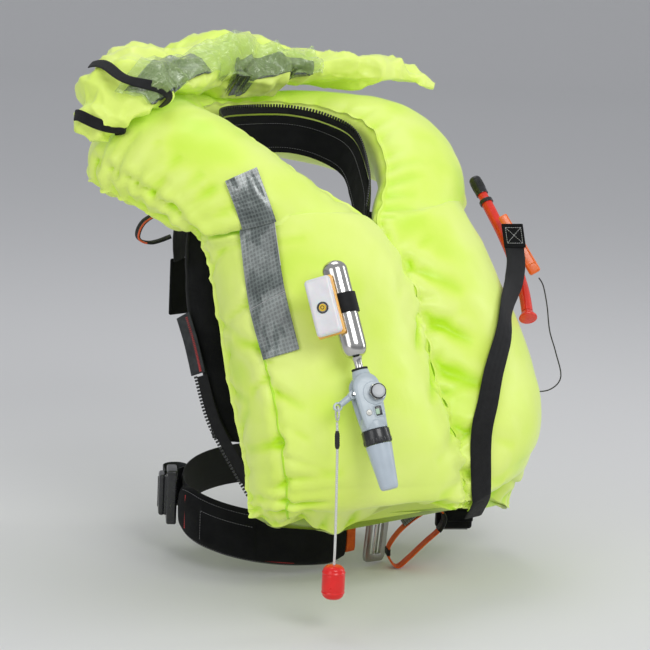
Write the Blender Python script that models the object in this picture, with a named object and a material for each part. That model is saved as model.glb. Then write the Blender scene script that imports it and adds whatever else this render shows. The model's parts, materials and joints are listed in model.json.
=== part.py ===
"""Inflated lifejacket with a deck harness, as worn: metres, +Z up, the wearer faces -Y.

The origin is on the wearer's middle line at the height where the jacket rests on the shoulders.
Right and left are the wearer's own, so the right lobe of the bladder is at -X.
"""

import math

import bmesh
import bpy
from mathutils.bvhtree import BVHTree
from mathutils import Matrix, Vector

MM = 0.001
GAP = 0.3 * MM               # left between pieces that touch
UP = Vector((0, 0, 1))

# ---- The wearer that the harness is fitted round --------------------------------------------------
WAIST_HALF_WIDTH = 0.142
WAIST_HALF_DEPTH = 0.102
BELT_Z = -0.332              # height of the belt's middle beside the wearer
BELT_TILT = 0.22             # the belt drops this far for each metre forward
BELT_WIDTH = 50 * MM
STRAP_WIDTH = 25 * MM
WEBBING = 2.2 * MM

# ---- The bladder: its two welded edges, and how far each sheet bulges from the line between them ---
# One row for each place along the right half, from the hem of the lobe to the middle of the nape:
# outer edge, inner edge, bulge of the outward sheet, bulge of the body-side sheet.
BLADDER_HALF = [
    ((-0.188, -0.138, -0.306), (-0.018, -0.283, -0.292), 0.003, 0.003),
    ((-0.196, -0.128, -0.292), (-0.006, -0.284, -0.278), 0.046, 0.030),
    ((-0.197, -0.122, -0.266), (-0.003, -0.280, -0.256), 0.076, 0.045),
    ((-0.197, -0.106, -0.215), (-0.003, -0.264, -0.205), 0.100, 0.050),
    ((-0.191, -0.071, -0.135), (-0.003, -0.222, -0.125), 0.101, 0.034),
    ((-0.183, -0.045, -0.060), (-0.003, -0.190, -0.045), 0.088, 0.022),
    ((-0.182, -0.020, 0.005), (-0.006, -0.128, 0.022), 0.080, 0.022),
    ((-0.208, 0.000, 0.022), (-0.068, -0.080, 0.070), 0.078, 0.026),
    ((-0.228, 0.045, 0.045), (-0.108, -0.015, 0.118), 0.068, 0.030),
    ((-0.225, 0.115, 0.062), (-0.105, 0.050, 0.135), 0.050, 0.038),
    ((-0.155, 0.178, 0.075), (-0.070, 0.095, 0.142), 0.038, 0.034),
    ((0.000, 0.196, 0.085), (0.000, 0.112, 0.142), 0.032, 0.030),
]
BLADDER_ROWS = 43
BLADDER_SIDES = 16
EDGE_SHARPNESS = 1.1         # 1 gives an elliptical section, more gives sharper welded edges


def smooth(values, t):
    """The value at place t on a smooth curve through the values, which stand at 0, 1, 2 and so on."""
    last = len(values) - 1
    t = min(max(t, 0.0), float(last))
    i = min(int(t), last - 1)
    u = t - i
    a, b, c, d = (values[min(max(k, 0), last)] for k in (i - 1, i, i + 1, i + 2))
    return 0.5 * (2 * b + (c - a) * u + (2 * a - 5 * b + 4 * c - d) * u**2 + (3 * b - a - 3 * c + d) * u**3)


def whole_bladder():
    """The rows of the right half and then, mirrored, those of the left half."""
    right = [(Vector(o), Vector(i), f, g) for o, i, f, g in BLADDER_HALF]
    mirror = Vector((-1, 1, 1))
    return right + [(outer * mirror, inner * mirror, f, g) for outer, inner, f, g in right[-2::-1]]


BLADDER = whole_bladder()
BLADDER_END = len(BLADDER) - 1


def bladder_frame(t):
    """At place t: outer edge, inner edge, outward bulge, body-side bulge, outward direction."""
    outer, inner, front, back = (smooth([row[k] for row in BLADDER], t) for k in range(4))
    step = 0.05
    ends = []
    for place in (max(t - step, 0.0), min(t + step, BLADDER_END)):
        ends.append(sum((smooth([row[k] for row in BLADDER], place) for k in (0, 1)), Vector()) / 2)
    across = (inner - outer).normalized()
    outward = across.cross(ends[1] - ends[0]).normalized()
    return outer, inner, max(front, 2 * MM), max(back, 2 * MM), outward


def bladder_point(t, degrees, lift=0.0):
    """A point of the skin: 0 degrees is the inner edge, 90 the crown, 180 the outer edge."""
    outer, inner, front, back, outward = bladder_frame(t)
    c, s = math.cos(math.radians(degrees)), math.sin(math.radians(degrees))
    bulge = front if s >= 0 else -back
    point = (outer + inner) / 2 + (inner - outer) / 2 * c + outward * bulge * abs(s) ** EDGE_SHARPNESS
    if lift:
        point += bladder_normal(t, degrees) * lift
    return point


def bladder_normal(t, degrees):
    """The direction straight out of the skin."""
    along = bladder_point(min(t + 0.02, BLADDER_END), degrees) - bladder_point(max(t - 0.02, 0), degrees)
    round_it = bladder_point(t, degrees + 1) - bladder_point(t, degrees - 1)
    return along.cross(round_it).normalized()


# ---- Making objects -------------------------------------------------------------------------------
def clear_scene():
    for obj in list(bpy.data.objects):
        bpy.data.objects.remove(obj)


def material(name, colour, roughness=0.6, metallic=0.0):
    found = bpy.data.materials.get(name)
    if found:
        return found
    made = bpy.data.materials.new(name)
    made.use_nodes = True
    shader = made.node_tree.nodes["Principled BSDF"]
    shader.inputs["Base Color"].default_value = (*colour, 1.0)
    shader.inputs["Roughness"].default_value = roughness
    shader.inputs["Metallic"].default_value = metallic
    return made


def signal_fabric():
    return material("signal_fabric", (0.62, 0.95, 0.05), 0.5)


def black_fabric():
    return material("black_fabric", (0.02, 0.02, 0.022), 0.8)


def orange_webbing():
    return material("orange_webbing", (0.9, 0.16, 0.02), 0.6)


def grey_plastic():
    return material("grey_plastic", (0.36, 0.42, 0.50), 0.35)


def black_plastic():
    return material("black_plastic", (0.02, 0.02, 0.02), 0.3)


def red_plastic():
    return material("red_plastic", (0.75, 0.02, 0.02), 0.3)


def steel():
    return material("steel", (0.6, 0.6, 0.6), 0.22, 1.0)


def rubber():
    return material("rubber", (0.03, 0.03, 0.03), 0.7)


def link(name, mesh, mat, parent=None):
    obj = bpy.data.objects.new(name, mesh)
    if not obj.data.materials:
        obj.data.materials.append(mat)
    bpy.context.scene.collection.objects.link(obj)
    obj.parent = parent
    return obj


def add_mesh(name, vertices, faces, mat, parent=None, smooth_angle=40):
    mesh = bpy.data.meshes.new(name)
    mesh.from_pydata([tuple(v) for v in vertices], [], faces)
    bm = bmesh.new()
    bm.from_mesh(mesh)
    bmesh.ops.recalc_face_normals(bm, faces=bm.faces)
    bm.to_mesh(mesh)
    bm.free()
    mesh.shade_smooth()
    mesh.set_sharp_from_angle(angle=math.radians(smooth_angle))
    return link(name, mesh, mat, parent)


def loft(name, rings, mat, parent=None, closed=False, smooth_angle=40):
    """A skin over rings of equally many points, capped at both ends unless it closes on itself."""
    count = len(rings[0])
    vertices = [p for ring in rings for p in ring]
    faces = []
    spans = len(rings) if closed else len(rings) - 1
    for r in range(spans):
        low, high = r * count, (r + 1) % len(rings) * count
        for k in range(count):
            n = (k + 1) % count
            faces.append((low + k, low + n, high + n, high + k))
    if not closed:
        faces.append(tuple(range(count)))
        faces.append(tuple(range(len(vertices) - count, len(vertices))))
    return add_mesh(name, vertices, faces, mat, parent, smooth_angle)


def turned(name, profile, mat, parent=None, sides=20, place=(0, 0, 0), axis="Z"):
    """A solid of revolution from (radius, height) points; both ends end on the axis or close a ring.

    A profile whose first and last radius are zero gives a solid; otherwise it closes into a ring."""
    solid = profile[0][0] == 0
    turn = Matrix.Rotation(math.radians(90), 3, "X") if axis == "Y" else Matrix.Identity(3)
    centre = Vector(place)
    if solid:
        rings = [[centre + turn @ Vector((r * math.cos(a), r * math.sin(a), z)) for a in angles(sides)]
                 for r, z in profile[1:-1]]
        return loft(name, rings, mat, parent)
    rings = []
    for a in angles(sides):
        rings.append([centre + turn @ Vector((r * math.cos(a), r * math.sin(a), z)) for r, z in profile])
    return loft(name, rings, mat, parent, closed=True)


def angles(count):
    return [math.tau * k / count for k in range(count)]


def ribbon(name, route, normals, width, thickness, mat, closed=False, parent=None, steps=0):
    """A flat strap whose middle runs along the route and whose flat faces look along the normals."""
    if steps:
        places = [(len(route) - 1) * k / steps for k in range(steps + 1)]
        route = [smooth(route, t) for t in places]
        normals = [smooth(normals, t) for t in places]
    rings = []
    for k, point in enumerate(route):
        after = route[(k + 1) % len(route)] if closed or k + 1 < len(route) else point
        before = route[k - 1] if closed or k else point
        along = (after - before).normalized()
        normal = (normals[k] - along * normals[k].dot(along)).normalized()
        side = along.cross(normal) * (width / 2)
        half = normal * (thickness / 2)
        rings.append([point + side + half, point - side + half, point - side - half, point + side - half])
    return loft(name, rings, mat, parent, closed=closed, smooth_angle=30)


def tube(name, route, radius, mat, points=24, resolution=2, parent=None):
    """A round cord or tube as a curve object, through a smooth curve over the route's points."""
    curve = bpy.data.curves.new(name, "CURVE")
    curve.dimensions = "3D"
    curve.bevel_depth = radius
    curve.bevel_resolution = resolution
    curve.use_fill_caps = True
    curve.render_resolution_u = 0
    spline = curve.splines.new("POLY")
    spline.points.add(points - 1)
    for k in range(points):
        place = smooth(route, (len(route) - 1) * k / (points - 1))
        spline.points[k].co = (*place, 1.0)
    curve.materials.append(mat)
    obj = bpy.data.objects.new(name, curve)
    bpy.context.scene.collection.objects.link(obj)
    obj.parent = parent
    return obj


def block(name, size, place, mat, parent=None, bevel=0.0, segments=2):
    mesh = bpy.data.meshes.new(name)
    bm = bmesh.new()
    bmesh.ops.create_cube(bm, size=1.0)
    bmesh.ops.scale(bm, vec=size, verts=bm.verts)
    if bevel:
        bmesh.ops.bevel(bm, geom=bm.edges, offset=bevel, segments=segments, profile=0.5, affect="EDGES")
    bmesh.ops.translate(bm, vec=place, verts=bm.verts)
    bm.to_mesh(mesh)
    bm.free()
    mesh.shade_smooth()
    mesh.set_sharp_from_angle(angle=math.radians(50))
    return link(name, mesh, mat, parent)


def combine(obj, other, operation):
    """Cuts the other shape out of the object, or joins it on; the other shape is only a tool."""
    other.hide_render = True
    other.display_type = "WIRE"
    change = obj.modifiers.new(operation.lower() + "_" + other.name, "BOOLEAN")
    change.operation = operation
    change.solver = "EXACT"
    change.object = other


def frame_empty(name, place, right, up):
    """An empty whose X looks right, whose Z looks up and whose -Y looks out of the page."""
    empty = bpy.data.objects.new(name, None)
    bpy.context.scene.collection.objects.link(empty)
    up = up.normalized()
    back = up.cross(right).normalized()
    right = back.cross(up)
    empty.matrix_world = Matrix.Translation(place) @ Matrix((right, back, up)).transposed().to_4x4()
    return empty


# ---- Bladder, tape and hood -----------------------------------------------------------------------
def bladder():
    rings = []
    for k in range(BLADDER_ROWS):
        t = BLADDER_END * k / (BLADDER_ROWS - 1)
        rings.append([bladder_point(t, 360 * j / BLADDER_SIDES) for j in range(BLADDER_SIDES)])
    return loft("bladder", rings, signal_fabric(), smooth_angle=60)


# The tape's rows from its foot to its head: place and angle of its inner edge, then of its outer edge.
TAPE_ROWS = [(4.05, 108, 3.92, 132), (4.90, 110, 4.72, 136), (5.75, 107, 5.55, 134), (6.60, 98, 6.60, 122),
             (7.25, 76, 7.20, 102)]
TAPE_THICKNESS = 1.2 * MM
TAPE_LIFT = 6 * MM
TAPE_FACING = Vector((-0.70, -0.62, 0.36)).normalized()


def skin_patch(name, rows, facing, lift, thickness, mat, along=14, across=4):
    """A thin plate pressed onto the bladder against its facing; a row gives both edges' places and angles."""
    skin = BVHTree.FromObject(bpy.data.objects["bladder"], bpy.context.evaluated_depsgraph_get())
    inner = [bladder_point(t, a) for t, a, _, _ in rows]
    outer = [bladder_point(t, a) for _, _, t, a in rows]
    rings = []
    for k in range(along + 1):
        place = (len(rows) - 1) * k / along
        start, end = smooth(inner, place), smooth(outer, place)
        inside = []
        for j in range(across + 1):
            above = start.lerp(end, j / across) + facing * 80 * MM
            inside.append(skin.ray_cast(above, -facing)[0] + facing * lift)
        outside = [point + facing * thickness for point in reversed(inside)]
        rings.append(outside + inside)
    return loft(name, rings, mat)


def reflective_tape():
    mat = material("reflective_grey", (0.42, 0.46, 0.44), 0.35)
    skin_patch("reflective_tape", TAPE_ROWS, TAPE_FACING, TAPE_LIFT, TAPE_THICKNESS, mat)


# The folded sprayhood: its middle line, and half its depth and height, from right end to left end.
HOOD_ROWS = [
    ((-0.250, 0.074, 0.112), 0.010, 0.010),
    ((-0.246, 0.077, 0.132), 0.034, 0.024),
    ((-0.214, 0.080, 0.163), 0.060, 0.036),
    ((-0.160, 0.100, 0.185), 0.064, 0.034),
    ((-0.085, 0.118, 0.186), 0.064, 0.036),
    ((0.000, 0.126, 0.188), 0.062, 0.034),
    ((0.085, 0.118, 0.186), 0.060, 0.032),
    ((0.160, 0.086, 0.184), 0.056, 0.028),
    ((0.208, 0.046, 0.180), 0.042, 0.024),
    ((0.244, 0.010, 0.168), 0.010, 0.008),
]
HOOD_STEPS = 24
HOOD_SIDES = 12
HOOD_FLATNESS = 0.45         # the underside bulges this much of what the top does


def hood_point(t, degrees, lift=0.0):
    """A point of the hood's skin: 0 degrees looks to the front, 90 up."""
    centre, depth, height = (smooth([(Vector(r[0]), r[1], r[2])[k] for r in HOOD_ROWS], t) for k in range(3))
    step = 0.05
    ahead = smooth([Vector(r[0]) for r in HOOD_ROWS], t + step)
    behind = smooth([Vector(r[0]) for r in HOOD_ROWS], t - step)
    along = (ahead - behind).normalized()
    back = UP.cross(along).normalized()
    rise = along.cross(back)
    a = math.radians(degrees)
    height *= 1.0 if math.sin(a) > 0 else HOOD_FLATNESS
    out = -back * math.cos(a) * (depth + lift) + rise * math.sin(a) * (height + lift)
    return centre + out


def spray_hood():
    last = len(HOOD_ROWS) - 1
    rings = []
    for k in range(HOOD_STEPS + 1):
        rings.append([hood_point(last * k / HOOD_STEPS, 360 * j / HOOD_SIDES) for j in range(HOOD_SIDES)])
    return loft("spray_hood", rings, signal_fabric(), smooth_angle=60)


def hood_patch(name, t_range, degrees, lift, thickness, mat, along=8, across=3):
    rings = []
    for k in range(along + 1):
        t = t_range[0] + (t_range[1] - t_range[0]) * k / along
        steps = [degrees[0] + (degrees[1] - degrees[0]) * j / across for j in range(across + 1)]
        outside = [hood_point(t, a, lift + thickness) for a in steps]
        inside = [hood_point(t, a, lift) for a in reversed(steps)]
        rings.append(outside + inside)
    return loft(name, rings, mat)


def hood_parts():
    clear = material("clear_film", (0.8, 0.85, 0.85), 0.1)
    hood_patch("hood_window", (2.6, 6.2), (4, 62), 3 * MM, 1.2 * MM, clear)
    grey = material("reflective_grey", (0.42, 0.46, 0.44), 0.35)
    hood_patch("hood_reflector", (2.9, 3.9), (16, 48), 6 * MM, 1 * MM, grey)
    hood_patch("hood_elastic", (1.75, 2.05), (-10, 120), 1.5 * MM, 1.5 * MM, black_fabric(), 3, 8)


# ---- Cover, collar and harness --------------------------------------------------------------------
COVER_LEVELS = [
    ((-0.143, 0.036, 0.012), (-0.137, 0.004, 0.012), (-0.118, -0.016, 0.012)),
    ((-0.158, 0.020, -0.035), (-0.154, -0.012, -0.035), (-0.126, -0.036, -0.035)),
    ((-0.164, 0.006, -0.090), (-0.158, -0.024, -0.090), (-0.126, -0.052, -0.090)),
    ((-0.170, -0.028, -0.150), (-0.156, -0.050, -0.150), (-0.118, -0.076, -0.150)),
    ((-0.166, -0.050, -0.200), (-0.150, -0.072, -0.200), (-0.112, -0.096, -0.200)),
    ((-0.160, -0.066, -0.226), (-0.146, -0.084, -0.226), (-0.110, -0.104, -0.226)),
]
COVER_THICKNESS = 3 * MM
ZIP_EDGE = [(-0.1735, -0.032, -0.153), (-0.170, -0.052, -0.203), (-0.161, -0.086, -0.252),
            (-0.150, -0.112, -0.292)]
ZIP_WIDTH = 14 * MM
ZIP_THICKNESS = 1.4 * MM


def sided(point, side):
    """The point as given for the right side, or its mirror image for the left."""
    return Vector((point[0] * -side, point[1], point[2]))


def cover(name, side):
    """One wing of the opened cover: a sheet round the wearer's flank; side is -1 right, 1 left."""
    rings = []
    steps = 15
    across = 6
    for k in range(steps + 1):
        place = (len(COVER_LEVELS) - 1) * k / steps
        line = [smooth([Vector(level[n]) for level in COVER_LEVELS], place) for n in range(3)]
        middle = [sided(smooth(line, 2 * j / across), side) for j in range(across + 1)]
        out = []
        for j, point in enumerate(middle):
            along = middle[min(j + 1, across)] - middle[max(j - 1, 0)]
            normal = along.cross(UP).normalized() * (COVER_THICKNESS / 2)
            out.append((point + normal, point - normal))
        rings.append([a for a, _ in out] + [b for _, b in reversed(out)])
    return loft(name, rings, black_fabric())


def zip_tapes():
    for name, side in (("zip_tape_right", -1), ("zip_tape_left", 1)):
        route = [sided(p, side) + Vector((side * 3.5 * MM, 0, 0)) for p in ZIP_EDGE]
        normals = [Vector((side, -0.35, 0)).normalized() for _ in route]
        ribbon(name, route, normals, ZIP_WIDTH, ZIP_THICKNESS, black_fabric(), steps=14)


COLLAR_TOP = [
    (-0.012, -0.100, 0.012), (-0.034, -0.084, 0.040), (-0.060, -0.056, 0.066), (-0.088, -0.004, 0.104),
    (-0.085, 0.042, 0.120), (-0.057, 0.077, 0.128), (0.000, 0.091, 0.129),
]
COLLAR_HEIGHT = 44 * MM


def collar_route():
    right = [Vector(p) for p in COLLAR_TOP]
    return right + [p * Vector((-1, 1, 1)) for p in right[-2::-1]]


def collar():
    """The collar of the opened cover: a horseshoe band that lines the neck opening, open in front."""
    top = collar_route()
    middle = Vector((0, 0.01, 0))
    steps = 40
    rings = []
    for k in range(steps + 1):
        point = smooth(top, (len(top) - 1) * k / steps)
        inward = middle - point
        inward.z = 0
        inward.normalize()
        share = min(1.0, 8 * min(k, steps - k) / steps)
        foot = point + inward * 14 * MM * share - UP * COLLAR_HEIGHT * (0.35 + 0.65 * share)
        half = inward * 1.5 * MM
        rings.append([point - half, point + half, foot + half, foot - half])
    loft("cover_collar", rings, black_fabric())


def neck_zip():
    """The tape with the teeth that stands on the collar's upper edge, on the left and behind the neck."""
    top = collar_route()
    middle = Vector((0, 0.01, 0))
    route, normals = [], []
    steps = 30
    first, last = 4.2, 11.4
    for k in range(steps + 1):
        point = smooth(top, first + (last - first) * k / steps)
        inward = middle - point
        inward.z = 0
        inward.normalize()
        route.append(point - inward * 0.8 * MM + UP * (6 * MM))
        normals.append(inward)
    ribbon("zip_tape_neck", route, normals, 8 * MM, ZIP_THICKNESS, black_fabric())


STRAP_ROUTE = [
    (-0.088, -0.050, -0.044), (-0.088, -0.022, -0.010), (-0.090, 0.020, 0.018), (-0.088, 0.060, 0.028),
    (-0.080, 0.096, 0.018), (-0.068, 0.122, -0.010), (-0.054, 0.136, -0.044),
]
STRAP_NORMALS = [(-0.3, -0.8, 0.5), (-0.3, -0.5, 0.8), (-0.2, 0, 1), (-0.1, 0.3, 1), (0, 0.8, 0.7),
                 (0, 1, 0.2), (0, 1, 0)]
BACK_Y = 0.1385


def harness():
    """Two straps over the shoulders that meet the yoke, and one strap from the yoke to the belt."""
    for name, side in (("shoulder_strap_right", -1), ("shoulder_strap_left", 1)):
        route = [sided(p, side) for p in STRAP_ROUTE]
        normals = [sided(n, side) for n in STRAP_NORMALS]
        ribbon(name, route, normals, 42 * MM, 4 * MM, black_fabric(), steps=18)
    block("back_yoke", (0.150, 5 * MM, 0.070), (0, BACK_Y + 2 * MM, -0.083), black_fabric(), bevel=2 * MM)
    route = [Vector((0, BACK_Y, -0.120)), Vector((0, BACK_Y - 3 * MM, -0.170)), Vector((0, 0.125, -0.230)),
             Vector((0, 0.113, -0.275))]
    normals = [Vector((0, 1, 0.1))] * 4
    ribbon("back_strap", route, normals, 40 * MM, WEBBING, black_fabric(), steps=10)


def shoulder_loop():
    """The webbing handle on the right shoulder, with piping along its edge."""
    route = [(-0.152, 0.052, 0.016), (-0.166, 0.062, 0.022), (-0.182, 0.072, 0.012), (-0.186, 0.076, -0.006),
             (-0.172, 0.068, -0.012), (-0.154, 0.054, -0.004)]
    normals = [(-0.2, 0.2, 1), (-0.5, 0.3, 0.8), (-0.9, 0.4, 0.3), (-0.8, 0.4, -0.6), (0.3, -0.2, -1),
               (0.6, -0.4, -0.8)]
    ribbon("shoulder_loop", [Vector(p) for p in route], [Vector(n) for n in normals], 16 * MM, 3 * MM,
           black_fabric(), steps=20)


# ---- Waist belt -----------------------------------------------------------------------------------
def belt_point(degrees, out=0.0, up=0.0):
    """A point round the waist: 0 degrees is in front, 90 on the wearer's left."""
    a = math.radians(degrees)
    x = (WAIST_HALF_WIDTH + out) * math.sin(a)
    y = -(WAIST_HALF_DEPTH + out) * math.cos(a)
    return Vector((x, y, BELT_Z + BELT_TILT * y + up))


def belt_out(degrees):
    a = math.radians(degrees)
    return Vector((math.sin(a) / WAIST_HALF_WIDTH, -math.cos(a) / WAIST_HALF_DEPTH, 0)).normalized()


def belt_band(name, first, last, out, width, thickness, mat, steps, up=0.0):
    places = [first + (last - first) * k / steps for k in range(steps + 1)]
    route = [belt_point(d, out + thickness / 2, up) for d in places]
    return ribbon(name, route, [belt_out(d) for d in places], width, thickness, mat)


BELT_RIGHT_END = -2          # degrees: where the belt ends beside the buckle, the long way round
BELT_LEFT_END = 46
PAD_OUT = WEBBING + 1.5 * MM
PAD_THICKNESS = 9 * MM


def waist_belt():
    belt_band("waist_belt", BELT_RIGHT_END, BELT_LEFT_END - 360, 0.0, BELT_WIDTH, WEBBING, black_fabric(), 60)
    belt_band("belt_sleeve", -106, -4, PAD_OUT, 62 * MM, PAD_THICKNESS, black_fabric(), 26)
    belt_band("belt_end_tab", -1.5, 4.0, PAD_OUT, 38 * MM, 4 * MM, orange_webbing(), 3)


ADJUSTER_ANGLE = -121
ADJUSTER_OUT = 15 * MM
ADJUSTER_SIZE = (36 * MM, 12 * MM, 66 * MM)


def adjuster():
    """The belt's cam adjuster behind the right hip: a frame, a lever on a pin, and the webbing's tail."""
    place = belt_point(ADJUSTER_ANGLE, ADJUSTER_OUT)
    out = belt_out(ADJUSTER_ANGLE)
    frame = frame_empty("adjuster_frame_place", place, UP.cross(out), UP)
    body = block("adjuster_frame", ADJUSTER_SIZE, (0, 0, 0), black_plastic(), frame, bevel=3 * MM)
    slot = block("adjuster_slot", (22 * MM, 40 * MM, 52 * MM), (0, 0, 0), black_plastic(), frame)
    combine(body, slot, "DIFFERENCE")
    lever_place = frame_empty("adjuster_lever_place", frame.matrix_world @ Vector((4 * MM, -5 * MM, 0)),
                              frame.matrix_world.to_3x3().col[0], UP)
    turned("adjuster_pin", [(0, 0), (2 * MM, -25.6 * MM), (2 * MM, 25.6 * MM), (0, 0)], steel(),
           lever_place, 12)
    lever = block("adjuster_lever", (28 * MM, 8 * MM, 50 * MM), (-11 * MM, -6.5 * MM, 0), black_plastic(),
                  lever_place,
                  bevel=2.5 * MM)
    hub = turned("adjuster_hub", [(0, 0), (5 * MM, -24 * MM), (5 * MM, 24 * MM), (0, 0)], black_plastic(),
                 lever_place, 16)
    combine(lever, hub, "UNION")
    hole = turned("adjuster_hole", [(0, 0), (2.3 * MM, -40 * MM), (2.3 * MM, 40 * MM), (0, 0)],
                  black_plastic(),
                  lever_place, 12)
    combine(lever, hole, "DIFFERENCE")
    tail = [frame.matrix_world @ Vector(p) for p in (
        (-22 * MM, -2 * MM, 0), (-34 * MM, 9 * MM, 1 * MM), (-50 * MM, 19 * MM, 2 * MM),
        (-62 * MM, 11 * MM, 2 * MM),
        (-58 * MM, -3 * MM, 2 * MM), (-42 * MM, -8 * MM, 0), (-26 * MM, -7 * MM, 0))]
    middle = sum(tail, Vector()) / len(tail)
    normals = [(p - middle) * Vector((1, 1, 0)) for p in tail]
    ribbon("adjuster_tail", tail, normals, 46 * MM, WEBBING, black_fabric(), steps=22)


BUCKLE_ANGLE = 15
BUCKLE_OUT = 17 * MM
BUCKLE_SIZE = (46 * MM, 4 * MM, 68 * MM)
BUCKLE_SLOT = (24 * MM, 50 * MM)
BUCKLE_CORNER = 9 * MM
BUCKLE_LEAN = 8              # degrees the buckle hangs over to the wearer's left


def plate(name, width, height, corner, thickness, mat, parent, per_corner=5):
    """A flat plate in the XZ plane with rounded corners."""
    outline = []
    for cx, cz, start in ((1, 1, 0), (-1, 1, 90), (-1, -1, 180), (1, -1, 270)):
        for k in range(per_corner + 1):
            a = math.radians(start + 90 * k / per_corner)
            outline.append((cx * (width / 2 - corner) + corner * math.cos(a),
                            cz * (height / 2 - corner) + corner * math.sin(a)))
    rings = [[Vector((x, y, z)) for x, z in outline] for y in (-thickness / 2, thickness / 2)]
    return loft(name, rings, mat, parent)


def buckle():
    """The stamped steel buckle that closes the belt in front, and the bar behind it that it hooks on."""
    lean = math.radians(BUCKLE_LEAN)
    right = UP.cross(belt_out(BUCKLE_ANGLE))
    up = UP * math.cos(lean) + right * math.sin(lean)
    frame = frame_empty("buckle_place", belt_point(BUCKLE_ANGLE, BUCKLE_OUT), right, up)
    width, thickness, height = BUCKLE_SIZE
    body = plate("steel_buckle", width, height, BUCKLE_CORNER, thickness, steel(), frame)
    slot = plate("buckle_slot", *BUCKLE_SLOT, 3.5 * MM, 5 * thickness, steel(), frame)
    combine(body, slot, "DIFFERENCE")
    bar = plate("buckle_bar", 9 * MM, 60 * MM, 3 * MM, 3 * MM, steel(), frame)
    bar.location = (7 * MM, thickness / 2 + 2.2 * MM, 0)


# The tether loop's outline in an upright plane: distance to the wearer's left, and height, in millimetres.
TETHER_OUTLINE = [(13.7, -371), (15.6, -383.4), (25.8, -393.4), (38.8, -383.4), (58.6, -363.5), (76.1, -346),
                  (80.3, -331), (69.9, -321.3), (50.7, -328.8), (31.9, -343.7), (19.4, -359)]
TETHER_START = Vector((0.030, -0.127, 0))
TETHER_ALONG = Vector((0.8, -0.6, 0))
TETHER_WIDTH = 17 * MM
TETHER_THICKNESS = 2.4 * MM


def tether_point(outline):
    return TETHER_START + TETHER_ALONG * outline[0] * MM + UP * outline[1] * MM


def tether():
    """The orange loop that a safety line hooks into, with the black sleeve under its upper run."""
    corners = [tether_point(p) for p in TETHER_OUTLINE]
    count = len(corners)
    wrapped = corners[-2:] + corners + corners[:3]
    steps = 44
    route = [smooth(wrapped, 2 + count * k / steps) for k in range(steps)]
    middle = sum(route, Vector()) / steps
    normals = []
    for k, point in enumerate(route):
        along = route[(k + 1) % steps] - route[k - 1]
        normal = along.cross(TETHER_ALONG.cross(UP)).normalized()
        normals.append(normal if normal.dot(point - middle) > 0 else -normal)
    ribbon("tether_loop", route, normals, TETHER_WIDTH, TETHER_THICKNESS, orange_webbing(), closed=True)
    lower = TETHER_THICKNESS + 1.2 * MM
    run = [tether_point(p) for p in ((33, -344.5), (41, -337.5), (50, -330.5), (58, -326.5))]
    slope = (run[-1] - run[0]).normalized()
    above = slope.cross(-TETHER_ALONG.cross(UP)).normalized()
    above = above if above.z > 0 else -above
    run = [p + above * (lower + 1.5 * MM) for p in run]
    ribbon("tether_sleeve", run, [above] * len(run), 20 * MM, 3 * MM, black_fabric(), steps=8)


def strap_pouch():
    """The small pouch below the lobes that holds the end of the lift strap."""
    place = frame_empty("pouch_place", Vector((0.118, -0.170, -0.338)), TETHER_ALONG, UP)
    block("strap_pouch", (44 * MM, 16 * MM, 25 * MM), (0, 0, 0), black_fabric(), place, bevel=4 * MM)


# ---- Lift strap on the left lobe ------------------------------------------------------------------
STRAP_LIFT = 4.5 * MM
LIFT_STRAP = [(1.1, 18), (1.7, 16), (2.9, 18), (3.3, 28), (3.6, 38), (4.0, 55), (4.4, 70)]
STRAP_HEAD = [(0.162, -0.206, -0.048), (0.188, -0.187, -0.030), (0.203, -0.170, -0.011),
              (0.208, -0.160, 0.011)]


def lift_strap():
    """The webbing that runs up the left lobe from the pouch, and leaves it for its sewn head."""
    route, normals = [], []
    for t, degrees in LIFT_STRAP:
        place = BLADDER_END - t
        route.append(bladder_point(place, degrees, STRAP_LIFT + WEBBING / 2))
        normals.append(bladder_normal(place, degrees))
    foot = route[0] + Vector((0.004, 0.014, -0.022))
    head = [Vector(p) for p in STRAP_HEAD]
    away = Vector((-0.45, -0.85, 0.25))
    ribbon("lift_strap", [foot] + route + head, [normals[0]] + normals + [away] * len(head), STRAP_WIDTH,
           WEBBING,
           black_fabric(), steps=36)


# ---- Inflator, cylinder and light -------------------------------------------------------------------
INFLATOR_ROW, INFLATOR_DEGREES = 3.34, 83      # where the inflator's axis stands over the bladder
INFLATOR_UP = Vector((0.03, 0.42, 0.906))
AXIS_OUT = 27 * MM           # from the bladder's skin to the axis of the cylinder
BODY_DEPTH = 27 * MM
BORE = 3.6 * MM
STEM_X = 8.5 * MM
STEM_RADIUS = 4.0 * MM
LEVER_PIN = (-15 * MM, 4 * MM)
LEVER_EYE = (-34 * MM, -5 * MM)
CYLINDER_RADIUS = 14 * MM
CYLINDER_TOP = 153 * MM
LIGHT_TURN = 28              # degrees the light faces to the wearer's right of straight out
LIGHT_CENTRE = (-16 * MM, 103 * MM)
LIGHT_SIZE = (29 * MM, 10 * MM, 64 * MM)


def cone_of(points):
    """Closes a list of (radius, height) points of a turned solid onto its axis at both ends."""
    return [(0, points[0][1])] + points + [(0, points[-1][1])]


def inflator_frame():
    right = INFLATOR_UP.cross(bladder_normal(INFLATOR_ROW, INFLATOR_DEGREES))
    frame = frame_empty("inflator_place", bladder_point(INFLATOR_ROW, INFLATOR_DEGREES, 1.5 * MM), right,
                        INFLATOR_UP)
    axis = frame_empty("inflator_axis", frame.matrix_world @ Vector((0, -AXIS_OUT, 0)), right, INFLATOR_UP)
    return axis


def y_cylinder(name, radius, x, z, near, far, mat, parent, sides=20):
    """A round bar along Y between two depths."""
    middle = (near + far) / 2
    half = (far - near) / 2
    return turned(name, cone_of([(radius, -half), (radius, half)]), mat, parent, sides, (x, middle, z),
                  axis="Y")


BODY_TOP = 24 * MM
BODY_FOOT = -38 * MM


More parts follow.
